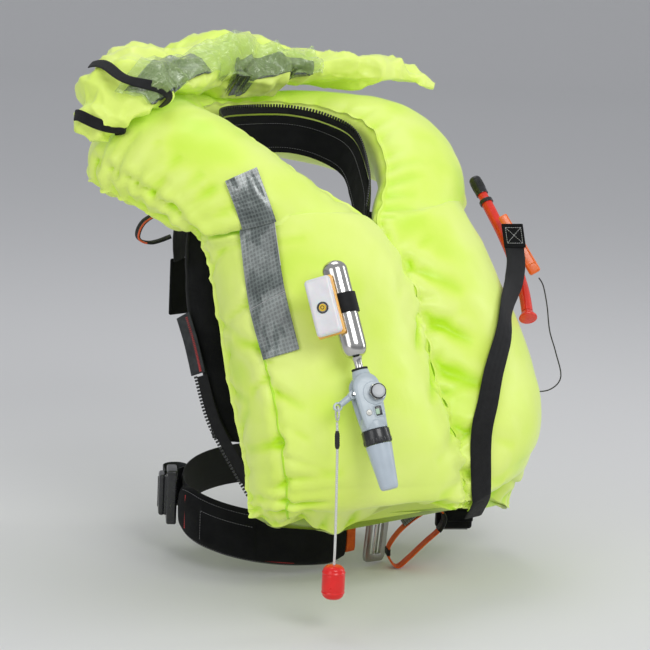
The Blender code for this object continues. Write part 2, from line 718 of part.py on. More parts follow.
def casing(axis):
    """The moulded body: an egg-shaped outline, wider at the nut than at the foot, with rounded rims."""
    half_top, half_foot = 15 * MM, 12 * MM
    outline = [(-half_foot, BODY_FOOT), (half_foot, BODY_FOOT)]
    for k in range(9):
        a = math.radians(180 * k / 8)
        outline.append((half_top * math.cos(a), 9 * MM + (BODY_TOP - 9 * MM) * math.sin(a)))
    rings = []
    for inset, y in ((0.72, -0.5), (0.90, -0.44), (1.0, -0.30), (1.0, 0.30), (0.90, 0.44), (0.72, 0.5)):
        rings.append([Vector((x * inset, y * BODY_DEPTH, (z + 7 * MM) * inset - 7 * MM)) for x, z in outline])
    return loft("inflator_body", rings, grey_plastic(), axis)


def inflator_body(axis):
    half = BODY_DEPTH / 2
    body = casing(axis)
    boss = y_cylinder("nut_boss", 14 * MM, 6 * MM, 0, -half - 1 * MM, half - 2 * MM, grey_plastic(), axis)
    collar_top = turned("body_collar", cone_of([(10.5 * MM, 8 * MM), (9 * MM, 29 * MM)]), grey_plastic(),
                        axis)
    skirt = turned("body_skirt", cone_of([(14.5 * MM, BODY_FOOT), (13.5 * MM, -20 * MM)]), grey_plastic(),
                   axis)
    for piece in (boss, collar_top, skirt):
        combine(body, piece, "UNION")
    for number, y in enumerate((-8, 8)):
        lug = block(f"lug_{number}", (17 * MM, 4 * MM, 13 * MM), (-14 * MM, y * MM, 3 * MM),
                    grey_plastic(), axis,
                    bevel=1.5 * MM)
        combine(body, lug, "UNION")
    pocket = block("lever_pocket", (12 * MM, 11 * MM, 15 * MM), (-13.5 * MM, 0, 3 * MM), grey_plastic(), axis)
    bore = turned("bore", cone_of([(BORE, -60 * MM), (BORE, 60 * MM)]), grey_plastic(), axis, 16,
                  (-1.5 * MM, 0, 0))
    seat = turned("neck_seat", cone_of([(6.6 * MM, 20 * MM), (6.6 * MM, 60 * MM)]), grey_plastic(), axis)
    stem_hole = y_cylinder("stem_hole", STEM_RADIUS + GAP, STEM_X, 0, -40 * MM, 40 * MM, grey_plastic(),
                           axis, 16)
    pin_hole = y_cylinder("pin_hole", 1.8 * MM, LEVER_PIN[0], LEVER_PIN[1], -40 * MM, 40 * MM,
                          grey_plastic(), axis, 12)
    for cutter in (pocket, bore, seat, stem_hole, pin_hole):
        combine(body, cutter, "DIFFERENCE")


def manifold(axis):
    """The flange welded to the bladder with its stem, the seal behind the body, and the nut with its cap."""
    skin = AXIS_OUT
    half = BODY_DEPTH / 2
    flange = y_cylinder("manifold", 17 * MM, STEM_X, 0, skin - 3.5 * MM, skin - 0.8 * MM, black_plastic(),
                        axis)
    stem = y_cylinder("manifold_stem", STEM_RADIUS, STEM_X, 0, -half - 7.5 * MM, skin - 2 * MM, steel(), axis)
    combine(flange, stem, "UNION")
    back = half + GAP
    front = skin - 3.5 * MM - GAP
    turned("manifold_seal", [(STEM_RADIUS + GAP, -(front - back) / 2), (9 * MM, -(front - back) / 2),
                             (9 * MM, (front - back) / 2), (STEM_RADIUS + GAP, (front - back) / 2)],
           rubber(), axis, 20, (STEM_X, (front + back) / 2, 0), axis="Y")
    nut_back = -half - 1 * MM - GAP
    nut_place = frame_empty("nut_place", axis.matrix_world @ Vector((STEM_X, nut_back, 0)),
                            axis.matrix_world.to_3x3().col[0], axis.matrix_world.to_3x3().col[2])
    nut = y_cylinder("manifold_nut", 9.6 * MM, 0, 0, -6 * MM, 0, steel(), nut_place, 6)
    hole = y_cylinder("nut_hole", STEM_RADIUS + GAP, 0, 0, -20 * MM, 20 * MM, steel(), nut_place, 16)
    combine(nut, hole, "DIFFERENCE")
    white = material("white_plastic", (0.8, 0.8, 0.78), 0.4)
    cap = y_cylinder("nut_cap", 6.8 * MM, 0, 0, -9.5 * MM, -6 * MM - GAP, white, nut_place, 20)
    inside = y_cylinder("cap_hollow", STEM_RADIUS + 0.5 * MM, 0, 0, -7.8 * MM, 0, white, nut_place, 16)
    combine(cap, inside, "DIFFERENCE")


def lever(axis):
    """The firing lever between the body's two lugs, its pin, and the pin that the lever drives."""
    place = frame_empty("lever_place", axis.matrix_world @ Vector((LEVER_PIN[0], 0, LEVER_PIN[1])),
                        axis.matrix_world.to_3x3().col[0], axis.matrix_world.to_3x3().col[2])
    reach = Vector((LEVER_EYE[0] - LEVER_PIN[0], 0, LEVER_EYE[1] - LEVER_PIN[1]))
    length = reach.length
    tilt = math.atan2(-reach.z, -reach.x)
    arm_frame = bpy.data.objects.new("lever_arm_place", None)
    bpy.context.scene.collection.objects.link(arm_frame)
    arm_frame.parent = place
    arm_frame.rotation_euler = (0, -tilt, 0)
    arm = y_cylinder("inflator_lever", 4.8 * MM, 0, 0, -5 * MM, 5 * MM, grey_plastic(), arm_frame, 16)
    bar = block("lever_bar", (length - 5 * MM, 8 * MM, 8 * MM), (2.5 * MM - length / 2, 0, 0),
                grey_plastic(), arm_frame, bevel=2.5 * MM)
    eye = y_cylinder("lever_eye", 5.2 * MM, -length, 0, -2 * MM, 2 * MM, grey_plastic(), arm_frame, 16)
    for piece in (bar, eye):
        combine(arm, piece, "UNION")
    for name, x, radius in (("lever_pin_hole", 0, 1.8 * MM), ("lever_eye_hole", -length, 3.2 * MM)):
        combine(arm, y_cylinder(name, radius, x, 0, -20 * MM, 20 * MM, grey_plastic(), arm_frame, 12),
                "DIFFERENCE")
    y_cylinder("lever_pin", 1.5 * MM, 0, 0, -11 * MM, 11 * MM, steel(), place, 10)
    turned("piercing_pin", cone_of([(0.5 * MM, 15 * MM), (2.6 * MM, 9 * MM), (2.6 * MM, -30 * MM)][::-1]),
           steel(), axis,
           12, (-1.5 * MM, 0, 0))
    return place


def body_trim(axis):
    front = -BODY_DEPTH / 2
    green = material("indicator_green", (0.1, 0.5, 0.12), 0.4)
    block("status_indicator", (5.5 * MM, 2.5 * MM, 10 * MM), (6 * MM, front - 1.25 * MM - GAP, -21 * MM),
          green, axis,
          bevel=0.8 * MM)


def auto_head(axis):
    """The ring, the cap of the automatic head, and what the cap holds: a bobbin and its spring."""
    turned("cartridge_ring", [(9 * MM, -54 * MM), (15.5 * MM, -54 * MM), (15.5 * MM, -38 * MM - GAP),
                              (9 * MM, -38 * MM - GAP)], black_plastic(), axis, 28)
    light_grey = material("light_grey_plastic", (0.42, 0.48, 0.55), 0.4)
    top = -54 * MM - GAP
    turned("auto_cap", [(0.01 * MM, -98 * MM), (0.01 * MM, -104 * MM), (8.5 * MM, -104 * MM),
                        (10 * MM, -101 * MM),
                        (14.5 * MM, top), (11 * MM, top), (8 * MM, -98 * MM)], light_grey, axis, 28)
    white = material("white_plastic", (0.8, 0.8, 0.78), 0.4)
    turned("sensing_bobbin", cone_of([(7 * MM, -94 * MM), (8 * MM, -76 * MM)]), white, axis, 16)
    turns = 4
    per_turn = 9
    steps = turns * per_turn
    route = []
    for k in range(steps + 1):
        a = math.tau * k / per_turn
        route.append(Vector((6 * MM * math.cos(a), 6 * MM * math.sin(a), -72 * MM + 26 * MM * k / steps)))
    rings = []
    for k, point in enumerate(route):
        along = (route[min(k + 1, steps)] - route[max(k - 1, 0)]).normalized()
        out = Vector((point.x, point.y, 0)).normalized()
        other = along.cross(out)
        rings.append([point + (out * math.cos(a) + other * math.sin(a)) * 0.7 * MM for a in angles(5)])
    loft("firing_spring", rings, steel(), axis)


def cylinder(axis):
    """The gas cylinder, with its neck in the body."""
    shoulder = 58 * MM
    r = CYLINDER_RADIUS
    profile = [(4.5 * MM, 21 * MM), (6.2 * MM, 22 * MM), (6.2 * MM, 40 * MM), (7 * MM, 43 * MM)]
    for k in range(1, 5):
        a = math.radians(90 * k / 4)
        profile.append((7 * MM + (r - 7 * MM) * math.sin(a),
                        43 * MM + (shoulder - 43 * MM) * (1 - math.cos(a))))
    dome = 12 * MM
    for k in range(6):
        a = math.radians(85 * k / 5)
        profile.append((r * math.cos(a), CYLINDER_TOP - dome + dome * math.sin(a)))
    turned("co2_cylinder", cone_of(profile), steel(), axis, 22)


def light(axis):
    """The emergency light on its strap round the cylinder: tray, lens, bezel and button."""
    x, z = LIGHT_CENTRE
    w, d, h = LIGHT_SIZE
    turn = bpy.data.objects.new("light_place", None)
    bpy.context.scene.collection.objects.link(turn)
    turn.parent = axis
    turn.rotation_euler = (0, 0, math.radians(-LIGHT_TURN))
    bpy.context.view_layer.update()
    r = CYLINDER_RADIUS + GAP
    strap_outer = r + 1.6 * MM
    strap_half = 11 * MM
    black = black_fabric()
    strap = turned("light_strap", [(r, -strap_half), (strap_outer, -strap_half), (strap_outer, strap_half),
                                   (r, strap_half)], black, axis, 28, (0, 0, z))
    rear = -(CYLINDER_RADIUS + 0.6 * MM)
    tray_depth = 6 * MM
    orange = material("light_tray", (0.9, 0.42, 0.05), 0.4)
    tray = block("light_tray", (w + 2 * MM, tray_depth, h + 2 * MM), (x, rear - tray_depth / 2, z),
                 orange, turn,
                 bevel=2.5 * MM)
    groove = turned("light_groove", cone_of([(strap_outer + GAP, -strap_half - GAP),
                                             (strap_outer + GAP, strap_half + GAP)]),
                    orange, axis, 28, (0, 0, z))
    combine(tray, groove, "DIFFERENCE")
    lens_mat = material("white_lens", (0.85, 0.86, 0.84), 0.3)
    back = rear - tray_depth - GAP
    front = back - d
    lens = block("light_lens", (w, d, h), (x, (front + back) / 2, z), lens_mat, turn, bevel=3.5 * MM,
                 segments=3)
    well = y_cylinder("light_well", 6.6 * MM, x, z - 2 * MM, -60 * MM, front + 6 * MM, lens_mat, turn, 24)
    combine(lens, well, "DIFFERENCE")
    turned("light_bezel", [(4.6 * MM, -3.2 * MM), (6.3 * MM, -3.2 * MM), (6.3 * MM, 3 * MM),
                           (4.6 * MM, 3 * MM)],
           black_plastic(), turn, 24, (x, front + 2.6 * MM, z - 2 * MM), axis="Y")
    button_place = frame_empty("button_place", turn.matrix_world @ Vector((x, front, z - 2 * MM)),
                               turn.matrix_world.to_3x3().col[0], turn.matrix_world.to_3x3().col[2])
    yellow = material("button_yellow", (0.9, 0.75, 0.05), 0.4)
    y_cylinder("light_button", 4.2 * MM, 0, 0, -1.2 * MM, 3.5 * MM, yellow, button_place, 20)


CORD_RADIUS = 1.4 * MM
CORD_ROUTE = [(0, 0, 0), (-3, -4, -12), (-6, -8, -30), (-10, -13, -60), (-13, -17, -95), (-14.5, -19, -125),
              (-15, -19.5, -152)]
TOGGLE_LENGTH = 38 * MM
TOGGLE_RADIUS = 12.5 * MM


def pull_cord(lever_place):
    """The cord from the lever's eye down the front of the lobe, its sleeve and the toggle on its end."""
    local = Vector((LEVER_EYE[0] - LEVER_PIN[0], 0, LEVER_EYE[1] - LEVER_PIN[1]))
    eye = lever_place.matrix_world @ local
    white = material("white_cord", (0.85, 0.85, 0.83), 0.8)
    radius = 7.6 * MM
    wire = 1.1 * MM
    knot_centre = eye - UP * (radius - 0.4 * MM)
    out = lever_place.matrix_world.to_3x3().col[1]
    out = (out - UP * out.z).normalized()
    across = out.cross(UP)
    rings = []
    for a in angles(18):
        radial = out * math.cos(a) + UP * math.sin(a)
        centre = knot_centre + radial * radius
        rings.append([centre + (radial * math.cos(b) + across * math.sin(b)) * wire for b in angles(8)])
    loft("cord_loop", rings, white, closed=True)
    start = knot_centre - UP * (radius + wire + 3 * GAP)
    route = [start + Vector(p) * MM for p in CORD_ROUTE]
    cord = tube("pull_cord", route, CORD_RADIUS, white, points=26)
    sleeve_route = [smooth(route, 0.75), smooth(route, 1.25), smooth(route, 1.8)]
    rings = []
    for k in range(7):
        point = smooth(sleeve_route, 2 * k / 6)
        rings.append(point)
    sleeve(rings)
    end = route[-1]
    toggle_place = bpy.data.objects.new("toggle_place", None)
    bpy.context.scene.collection.objects.link(toggle_place)
    toggle_place.location = end
    profile = [(3 * MM, -GAP), (8 * MM, -1 * MM), (TOGGLE_RADIUS * 0.9, -5 * MM),
               (TOGGLE_RADIUS, -TOGGLE_LENGTH / 2),
               (TOGGLE_RADIUS * 0.9, -TOGGLE_LENGTH + 5 * MM), (8 * MM, -TOGGLE_LENGTH + 1 * MM),
               (3 * MM, -TOGGLE_LENGTH)]
    turned("pull_toggle", cone_of(profile), red_plastic(), toggle_place, 20)
    return cord


def sleeve(points):
    """A short rubber sleeve round the cord, a tube with a wall."""
    inner, outer = CORD_RADIUS + GAP, 2.9 * MM
    rings = []
    sides = 10
    for k, point in enumerate(points):
        along = (points[min(k + 1, len(points) - 1)] - points[max(k - 1, 0)]).normalized()
        u = along.cross(Vector((0, 1, 0))).normalized()
        v = along.cross(u)
        rings.append((point, u, v))
    profile_rings = []
    for a in angles(sides):
        line = [p + (u * math.cos(a) + v * math.sin(a)) * outer for p, u, v in rings]
        line += [p + (u * math.cos(a) + v * math.sin(a)) * inner for p, u, v in reversed(rings)]
        profile_rings.append(line)
    loft("cord_sleeve", profile_rings, rubber(), closed=True)


# ---- Oral inflation tube and whistle ----------------------------------------------------------------
TUBE_ROUTE = [(0.179, -0.216, -0.084), (0.193, -0.197, -0.062), (0.210, -0.167, -0.034),
              (0.222, -0.136, -0.004),
              (0.230, -0.106, 0.024), (0.234, -0.086, 0.044)]
TUBE_RADIUS = 6.2 * MM


def oral_tube():
    """The tube for topping up by mouth, its wall open at the top, with its base, band, valve and cap."""
    route = [Vector(p) for p in TUBE_ROUTE]
    steps = 14
    points = [smooth(route, (len(route) - 1) * k / steps) for k in range(steps + 1)]
    inner, sides = 4.2 * MM, 12
    frames = []
    for k, point in enumerate(points):
        along = (points[min(k + 1, steps)] - points[max(k - 1, 0)]).normalized()
        u = along.cross(Vector((1, 0, 0))).normalized()
        frames.append((point, u, along.cross(u)))
    rings = []
    for a in angles(sides):
        out = [p + (u * math.cos(a) + v * math.sin(a)) * TUBE_RADIUS for p, u, v in frames]
        back = [p + (u * math.cos(a) + v * math.sin(a)) * inner for p, u, v in reversed(frames)]
        rings.append(out + back)
    loft("oral_tube", rings, red_plastic(), closed=True)
    end = points[-1]
    along = (points[-1] - points[-2]).normalized()
    right = along.cross(Vector((1, 0, 0))).normalized()
    top = frame_empty("tube_end", end, right, along)
    turned("tube_collar", [(TUBE_RADIUS + GAP, -20 * MM), (7.8 * MM, -20 * MM), (7.8 * MM, -15 * MM),
                           (TUBE_RADIUS + GAP, -15 * MM)], black_plastic(), top, 20)
    turned("tube_valve", cone_of([(3.6 * MM, -18 * MM), (3.6 * MM, -10 * MM), (2.2 * MM, -9 * MM),
                                  (2.2 * MM, -1 * MM)]),
           material("white_plastic", (0.8, 0.8, 0.78), 0.4), top, 12)
    cap_top = 20 * MM
    turned("tube_cap", [(0.01 * MM, cap_top - 3 * MM), (TUBE_RADIUS + GAP, cap_top - 3 * MM),
                        (TUBE_RADIUS + GAP, -6 * MM), (7.8 * MM, -6 * MM), (7.8 * MM, cap_top - 2 * MM),
                        (6.5 * MM, cap_top), (0.01 * MM, cap_top)], black_plastic(), top, 20)
    start_along = (points[1] - points[0]).normalized()
    base = frame_empty("tube_base_place", points[0], start_along.cross(Vector((1, 0, 0))), start_along)
    turned("tube_base", cone_of([(11 * MM, -10 * MM), (11 * MM, -7 * MM), (8 * MM, -4 * MM),
                                 (7.5 * MM, -GAP)]),
           red_plastic(), base, 20)


LANYARD_ROUTE = [(0.2282, -0.1910, -0.0498), (0.2325, -0.1955, -0.0600), (0.2390, -0.1980, -0.0850),
                 (0.2430, -0.2010, -0.1150), (0.2500, -0.2070, -0.1420), (0.2540, -0.2140, -0.1720),
                 (0.2440, -0.2060, -0.1880), (0.2280, -0.1880, -0.1920), (0.2160, -0.1720, -0.1920)]


def whistle():
    """The whistle clipped beside the tube, and the thin cord that keeps it on the bladder."""
    top, bottom = Vector((0.2130, -0.1390, 0.0226)), Vector((0.2270, -0.1880, -0.0459))
    place = frame_empty("whistle_place", (top + bottom) / 2, Vector((0.7, -0.7, 0)), top - bottom)
    orange = material("orange_plastic", (0.9, 0.18, 0.02), 0.35)
    body = block("whistle", (15 * MM, 8 * MM, (top - bottom).length), (0, 0, 0), orange, place, bevel=3 * MM)
    slot = block("whistle_slot", (9 * MM, 20 * MM, 4 * MM), (0, 0, 18 * MM), orange, place)
    combine(body, slot, "DIFFERENCE")
    lanyard = material("black_cord", (0.02, 0.02, 0.02), 0.7)
    route = [Vector(p) for p in LANYARD_ROUTE]
    tube("whistle_lanyard", route, 0.8 * MM, lanyard, points=44)


def main():
    clear_scene()
    bladder()
    reflective_tape()
    spray_hood()
    hood_parts()
    cover("cover_right", -1)
    cover("cover_left", 1)
    zip_tapes()
    collar()
    neck_zip()
    harness()
    shoulder_loop()
    waist_belt()
    adjuster()
    buckle()
    tether()
    strap_pouch()
    lift_strap()
    axis = inflator_frame()
    bpy.context.view_layer.update()
    inflator_body(axis)
    manifold(axis)
    pull_cord(lever(axis))
    body_trim(axis)
    auto_head(axis)
    cylinder(axis)
    light(axis)
    oral_tube()
    whistle()


main()
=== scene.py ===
"""The finished look of the inflated lifejacket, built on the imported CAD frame.

Metres, +Z up, the wearer faces -Y, the wearer's right is at -X. Soft goods, cords and fine detail are made
here; rigid parts keep the CAD's places, which come from the frame's joints and boxes.
"""

import json
import math
import random

import bpy
import numpy as np
from mathutils import Matrix, Vector, noise
from mathutils.bvhtree import BVHTree


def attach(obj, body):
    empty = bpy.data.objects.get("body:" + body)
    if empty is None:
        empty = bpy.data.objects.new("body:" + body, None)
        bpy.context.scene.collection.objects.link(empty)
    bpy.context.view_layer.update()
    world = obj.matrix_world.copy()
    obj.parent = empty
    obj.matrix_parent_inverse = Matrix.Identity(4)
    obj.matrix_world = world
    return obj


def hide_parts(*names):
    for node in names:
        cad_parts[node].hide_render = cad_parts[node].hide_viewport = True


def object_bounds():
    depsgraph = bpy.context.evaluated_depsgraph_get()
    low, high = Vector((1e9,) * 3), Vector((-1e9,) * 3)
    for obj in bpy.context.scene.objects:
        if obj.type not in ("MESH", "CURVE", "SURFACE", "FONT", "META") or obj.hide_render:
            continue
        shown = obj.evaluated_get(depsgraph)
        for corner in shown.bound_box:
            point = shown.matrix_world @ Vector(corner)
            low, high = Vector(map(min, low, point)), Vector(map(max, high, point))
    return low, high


MM = 0.001
UP, BACKWARD = Vector((0, 0, 1)), Vector((0, 1, 0))
random.seed(7)

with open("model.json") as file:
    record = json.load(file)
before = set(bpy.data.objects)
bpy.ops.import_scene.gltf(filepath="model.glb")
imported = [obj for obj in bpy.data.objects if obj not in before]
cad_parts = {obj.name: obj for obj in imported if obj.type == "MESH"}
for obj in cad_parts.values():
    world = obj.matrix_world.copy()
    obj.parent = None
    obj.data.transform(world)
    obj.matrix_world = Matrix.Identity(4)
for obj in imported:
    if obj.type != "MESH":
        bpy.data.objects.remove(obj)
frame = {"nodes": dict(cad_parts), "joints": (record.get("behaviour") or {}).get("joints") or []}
CAD_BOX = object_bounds()
JOINTS = {joint["name"]: joint for joint in frame["joints"]}


# ---- Camera, light and floor ------------------------------------------------------------------------
VIEW_AZIMUTH, VIEW_ELEVATION, VIEW_ROLL = -46.0, 10.0, 2.5      # degrees
VIEW_DISTANCE = 2.8
VIEW_RIGHT, VIEW_DOWN = 0.0336, 0.114      # how far the camera aims beside and below the origin
LENS, SENSOR = 129.23, 36.0
SKY_COLOUR, SKY_STRENGTH = (0.93, 0.95, 1.0, 1), 0.50
LIGHT_AIM = Vector((0, -0.1, -0.1))
LIGHTS = [                                 # name, place, size and power in watts
    ("key", (-0.9, -2.3, 1.5), (1.3, 1.0), 26),
    ("fill", (-2.6, -0.4, 0.6), (1.2, 1.6), 11),
    ("side", (1.9, -1.4, 0.7), (0.6, 1.6), 10),
    ("top", (0.2, 0.5, 2.2), (1.4, 1.4), 13),
]
FLOOR_RADIUS, FLOOR_RIM, FLOOR_SIDES = 8.0, 2.2, 64
FLOOR_COLOUR, FLOOR_ROUGHNESS = (0.72, 0.72, 0.72, 1), 0.9


def add_object(name, data):
    obj = bpy.data.objects.new(name, data)
    bpy.context.scene.collection.objects.link(obj)
    return obj


def camera():
    a, e, roll = (math.radians(v) for v in (VIEW_AZIMUTH, VIEW_ELEVATION, VIEW_ROLL))
    right = Vector((math.cos(a), math.sin(a), 0))
    back = Vector((math.sin(a) * math.cos(e), -math.cos(a) * math.cos(e), math.sin(e)))
    up = back.cross(right)
    tilted = right * math.cos(roll) + up * math.sin(roll)
    up = up * math.cos(roll) - right * math.sin(roll)
    data = bpy.data.cameras.new("camera")
    data.lens = LENS
    data.sensor_width = SENSOR
    obj = add_object("camera", data)
    place = tilted * VIEW_RIGHT - up * VIEW_DOWN + back * VIEW_DISTANCE
    obj.matrix_world = Matrix.Translation(place) @ Matrix((tilted, up, back)).transposed().to_4x4()
    bpy.context.scene.camera = obj


def area_light(name, place, size, power):
    data = bpy.data.lights.new(name, "AREA")
    data.shape = "RECTANGLE"
    data.size, data.size_y = size
    data.energy = power
    obj = add_object(name, data)
    obj.location = place
    obj.rotation_euler = (LIGHT_AIM - Vector(place)).to_track_quat("-Z", "Y").to_euler()


def dish_floor():
    """A round floor just below the lifejacket, which curves up at its rim."""
    foot = CAD_BOX[0][2] - 1 * MM
    rings = [(FLOOR_RADIUS * k / 4, 0.0) for k in range(1, 5)]
    for k in range(1, 13):
        a = math.radians(90 * k / 12)
        rings.append((FLOOR_RADIUS + FLOOR_RIM * math.sin(a), FLOOR_RIM * (1 - math.cos(a))))
    points = [(r * math.cos(a), r * math.sin(a), foot + h) for r, h in rings for a in angles(FLOOR_SIDES)]
    faces = [tuple(range(FLOOR_SIDES))]
    for r in range(len(rings) - 1):
        low, high = r * FLOOR_SIDES, (r + 1) * FLOOR_SIDES
        for k in range(FLOOR_SIDES):
            n = (k + 1) % FLOOR_SIDES
            faces.append((low + k, high + k, high + n, low + n))
    mesh = bpy.data.meshes.new("floor")
    mesh.from_pydata(points, [], faces)
    mesh.shade_smooth()
    pale = Nodes("floor")
    pale.set(Base_Color=FLOOR_COLOUR, Roughness=FLOOR_ROUGHNESS)
    mesh.materials.append(pale.material)
    add_object("floor", mesh)


def studio():
    scene = bpy.context.scene
    scene.world = bpy.data.worlds.new("studio")
    scene.world.use_nodes = True
    sky = scene.world.node_tree.nodes["Background"].inputs
    sky["Color"].default_value = SKY_COLOUR
    sky["Strength"].default_value = SKY_STRENGTH
    for light_values in LIGHTS:
        area_light(*light_values)
    dish_floor()
    scene.view_settings.view_transform = "Standard"


# ---- Materials --------------------------------------------------------------------------------------
class Nodes:
    """A small helper that adds nodes to one material and links them."""

    def __init__(self, name):
        self.material = bpy.data.materials.new(name)
        self.material.use_nodes = True
        self.tree = self.material.node_tree
        self.shader = self.tree.nodes["Principled BSDF"]

    def set(self, **values):
        for key, value in values.items():
            self.shader.inputs[key.replace("_", " ")].default_value = value

    def add(self, kind, **inputs):
        node = self.tree.nodes.new(kind)
        for key, value in inputs.items():
            self.feed(node.inputs[key.replace("_", " ")], value)
        return node

    def feed(self, socket, value):
        """Gives an input a value, or links another node's output to it."""
        if isinstance(value, bpy.types.NodeSocket):
            self.tree.links.new(value, socket)
        else:
            socket.default_value = value

    def coords(self, uv=False, scale=(1, 1, 1)):
        source = self.add("ShaderNodeTexCoord")
        mapping = self.add("ShaderNodeMapping", Vector=source.outputs["UV" if uv else "Object"], Scale=scale)
        return mapping.outputs["Vector"]

    def noise(self, vector, scale, detail=3.0, rough=0.5):
        node = self.add("ShaderNodeTexNoise", Vector=vector, Scale=scale, Detail=detail, Roughness=rough)
        return node.outputs["Fac"]

    def ramp(self, factor, stops):
        node = self.add("ShaderNodeValToRGB", Fac=factor)
        elements = node.color_ramp.elements
        while len(elements) < len(stops):
            elements.new(0.5)
        for element, (place, colour) in zip(elements, stops):
            element.position = place
            element.color = (*colour, 1)
        return node.outputs["Color"]

    def math(self, operation, a, b=0.0):
        node = self.tree.nodes.new("ShaderNodeMath")
        node.operation = operation
        for socket, value in zip(node.inputs, (a, b)):
            self.feed(socket, value)
        return node.outputs[0]

    def bump(self, height, strength, distance, under=None):
        node = self.add("ShaderNodeBump", Height=height, Strength=strength, Distance=distance)
        if under is not None:
            self.feed(node.inputs["Normal"], under)
        return node.outputs["Normal"]

    def finish(self, colour=None, rough=None, normal=None):
        for value, key in ((colour, "Base Color"), (rough, "Roughness"), (normal, "Normal")):
            if value is not None:
                self.feed(self.shader.inputs[key], value)
        return self.material


def weave(n, vector, pitch):
    """The height of a plain weave whose threads lie along the first two coordinates."""
    parts = n.add("ShaderNodeSeparateXYZ", Vector=vector)
    rise = math.tau / pitch
    a = n.math("SINE", n.math("MULTIPLY", parts.outputs[0], rise))
    b = n.math("SINE", n.math("MULTIPLY", parts.outputs[1], rise))
    return n.math("MULTIPLY", a, b)


def coated_fabric(name, tint=1.0):
    """Fluorescent coated fabric: a fine weave under a slightly glossy coat, with painted shade in its
    hollows.
    """
    n = Nodes(name)
    place = n.coords()
    cloud = n.math("MULTIPLY", n.noise(place, 9, 4), 0.5)
    # Painted shade: the skin's creases, read from an attribute, are painted darker and more saturated, on top
    # of a random tone.
    hollow_shade = n.add("ShaderNodeAttribute")
    hollow_shade.attribute_name = "hollow_shade"
    deep = n.math("ADD", cloud, n.math("MULTIPLY", hollow_shade.outputs["Fac"], 0.55))
    stops = ((0.18, (0.80, 0.93, 0.24)), (0.34, (0.73, 0.92, 0.14)), (0.62, (0.52, 0.84, 0.006)))
    colour = n.ramp(deep, [(level, (r * tint, g * tint, b)) for level, (r, g, b) in stops])
    fine = n.noise(place, 900, 2)
    creases = n.noise(place, 60, 6, 0.6)
    normal = n.bump(fine, 0.12, 0.3 * MM)
    normal = n.bump(creases, 0.25, 1.6 * MM, normal)
    rough = n.ramp(n.noise(place, 40, 4), [(0.3, (0.34,) * 3), (0.7, (0.5,) * 3)])
    # The emission is a painted glow, a faint light of the fabric's own that stands in for its fluorescence.
    n.set(Sheen_Weight=0.25, Sheen_Roughness=0.4, Subsurface_Weight=0.0, Specular_IOR_Level=0.45,
          Emission_Color=(0.62, 0.9, 0.03, 1), Emission_Strength=0.06)
    return n.finish(colour, rough, normal)


def webbing(name, dark, pale, pitch=1.5 * MM):
    """Woven webbing: ribs across the strap, from the strap's own length and width in metres."""
    n = Nodes(name)
    parts = n.add("ShaderNodeSeparateXYZ", Vector=n.coords(uv=True))
    along, across = parts.outputs[0], parts.outputs[1]
    chevron = n.math("PINGPONG", across, 3 * MM)
    slanted = n.math("ADD", along, n.math("MULTIPLY", chevron, 0.5))
    rib = n.math("SINE", n.math("MULTIPLY", slanted, math.tau / pitch))
    thread = n.math("SINE", n.math("MULTIPLY", across, math.tau / (0.9 * MM)))
    height = n.math("ADD", rib, n.math("MULTIPLY", thread, 0.5))
    # The ribs' low parts are painted darker, which is painted shade, on top of a random tone.
    shade = n.math("ADD", n.math("MULTIPLY", height, 0.22), n.noise(n.coords(), 150, 3))
    colour = n.ramp(shade, [(0.25, dark), (0.85, pale)])
    normal = n.bump(height, 0.5, 0.25 * MM)
    n.set(Roughness=0.6, Sheen_Weight=0.06, Sheen_Roughness=0.5, Specular_IOR_Level=0.25)
    return n.finish(colour, None, normal)


def black_cloth():
    """Dull black pack cloth with a plain weave and a little dust."""
    n = Nodes("black_cloth")
    place = n.coords()
    height = n.math("ADD", weave(n, place, 0.9 * MM), weave(n, n.coords(scale=(1, 0, 1)), 0.9 * MM))
    dust = n.noise(place, 35, 6, 0.65)
    colour = n.ramp(dust, [(0.35, (0.0015, 0.0018, 0.002)), (0.75, (0.007, 0.0075, 0.008))])
    normal = n.bump(height, 0.3, 0.2 * MM)
    normal = n.bump(n.noise(place, 55, 5), 0.35, 2 * MM, normal)
    n.set(Roughness=0.72, Sheen_Weight=0.05, Sheen_Roughness=0.5, Specular_IOR_Level=0.12)
    return n.finish(colour, None, normal)


def plastic(name, colour, rough=0.35, variation=0.06, coat=0.0, grain=0.12):
    """Moulded plastic: a fine grain, slight blotches and handling marks in its gloss."""
    n = Nodes(name)
    place = n.coords()
    low = tuple(c * (1 - variation) for c in colour)
    high = tuple(min(1.0, c * (1 + variation)) for c in colour)
    shade = n.ramp(n.noise(place, 70, 3), [(0.3, low), (0.7, high)])
    gloss = n.ramp(n.noise(place, 120, 5, 0.6), [(0.3, (rough * 0.75,) * 3), (0.7, (rough * 1.25,) * 3)])
    normal = n.bump(n.noise(place, 1400, 2), grain, 0.12 * MM)
    n.set(Coat_Weight=coat)
    return n.finish(shade, gloss, normal)


def metal(name, colour, rough, scratches=0.3, stretch=(1, 1, 1)):
    """Metal with fine scratches and uneven polish; stretch draws the scratches out along one way."""
    n = Nodes(name)
    place = n.coords(scale=stretch)
    lines = n.noise(place, 700, 4, 0.7)
    blotch = n.noise(n.coords(), 55, 4)
    shade = n.ramp(blotch, [(0.3, tuple(c * 0.86 for c in colour)), (0.75, colour)])
    gloss = n.ramp(lines, [(0.3, (rough * 0.6,) * 3), (0.75, (rough * 1.7,) * 3)])
    normal = n.bump(lines, scratches, 0.05 * MM)
    n.set(Metallic=1.0)
    return n.finish(shade, gloss, normal)


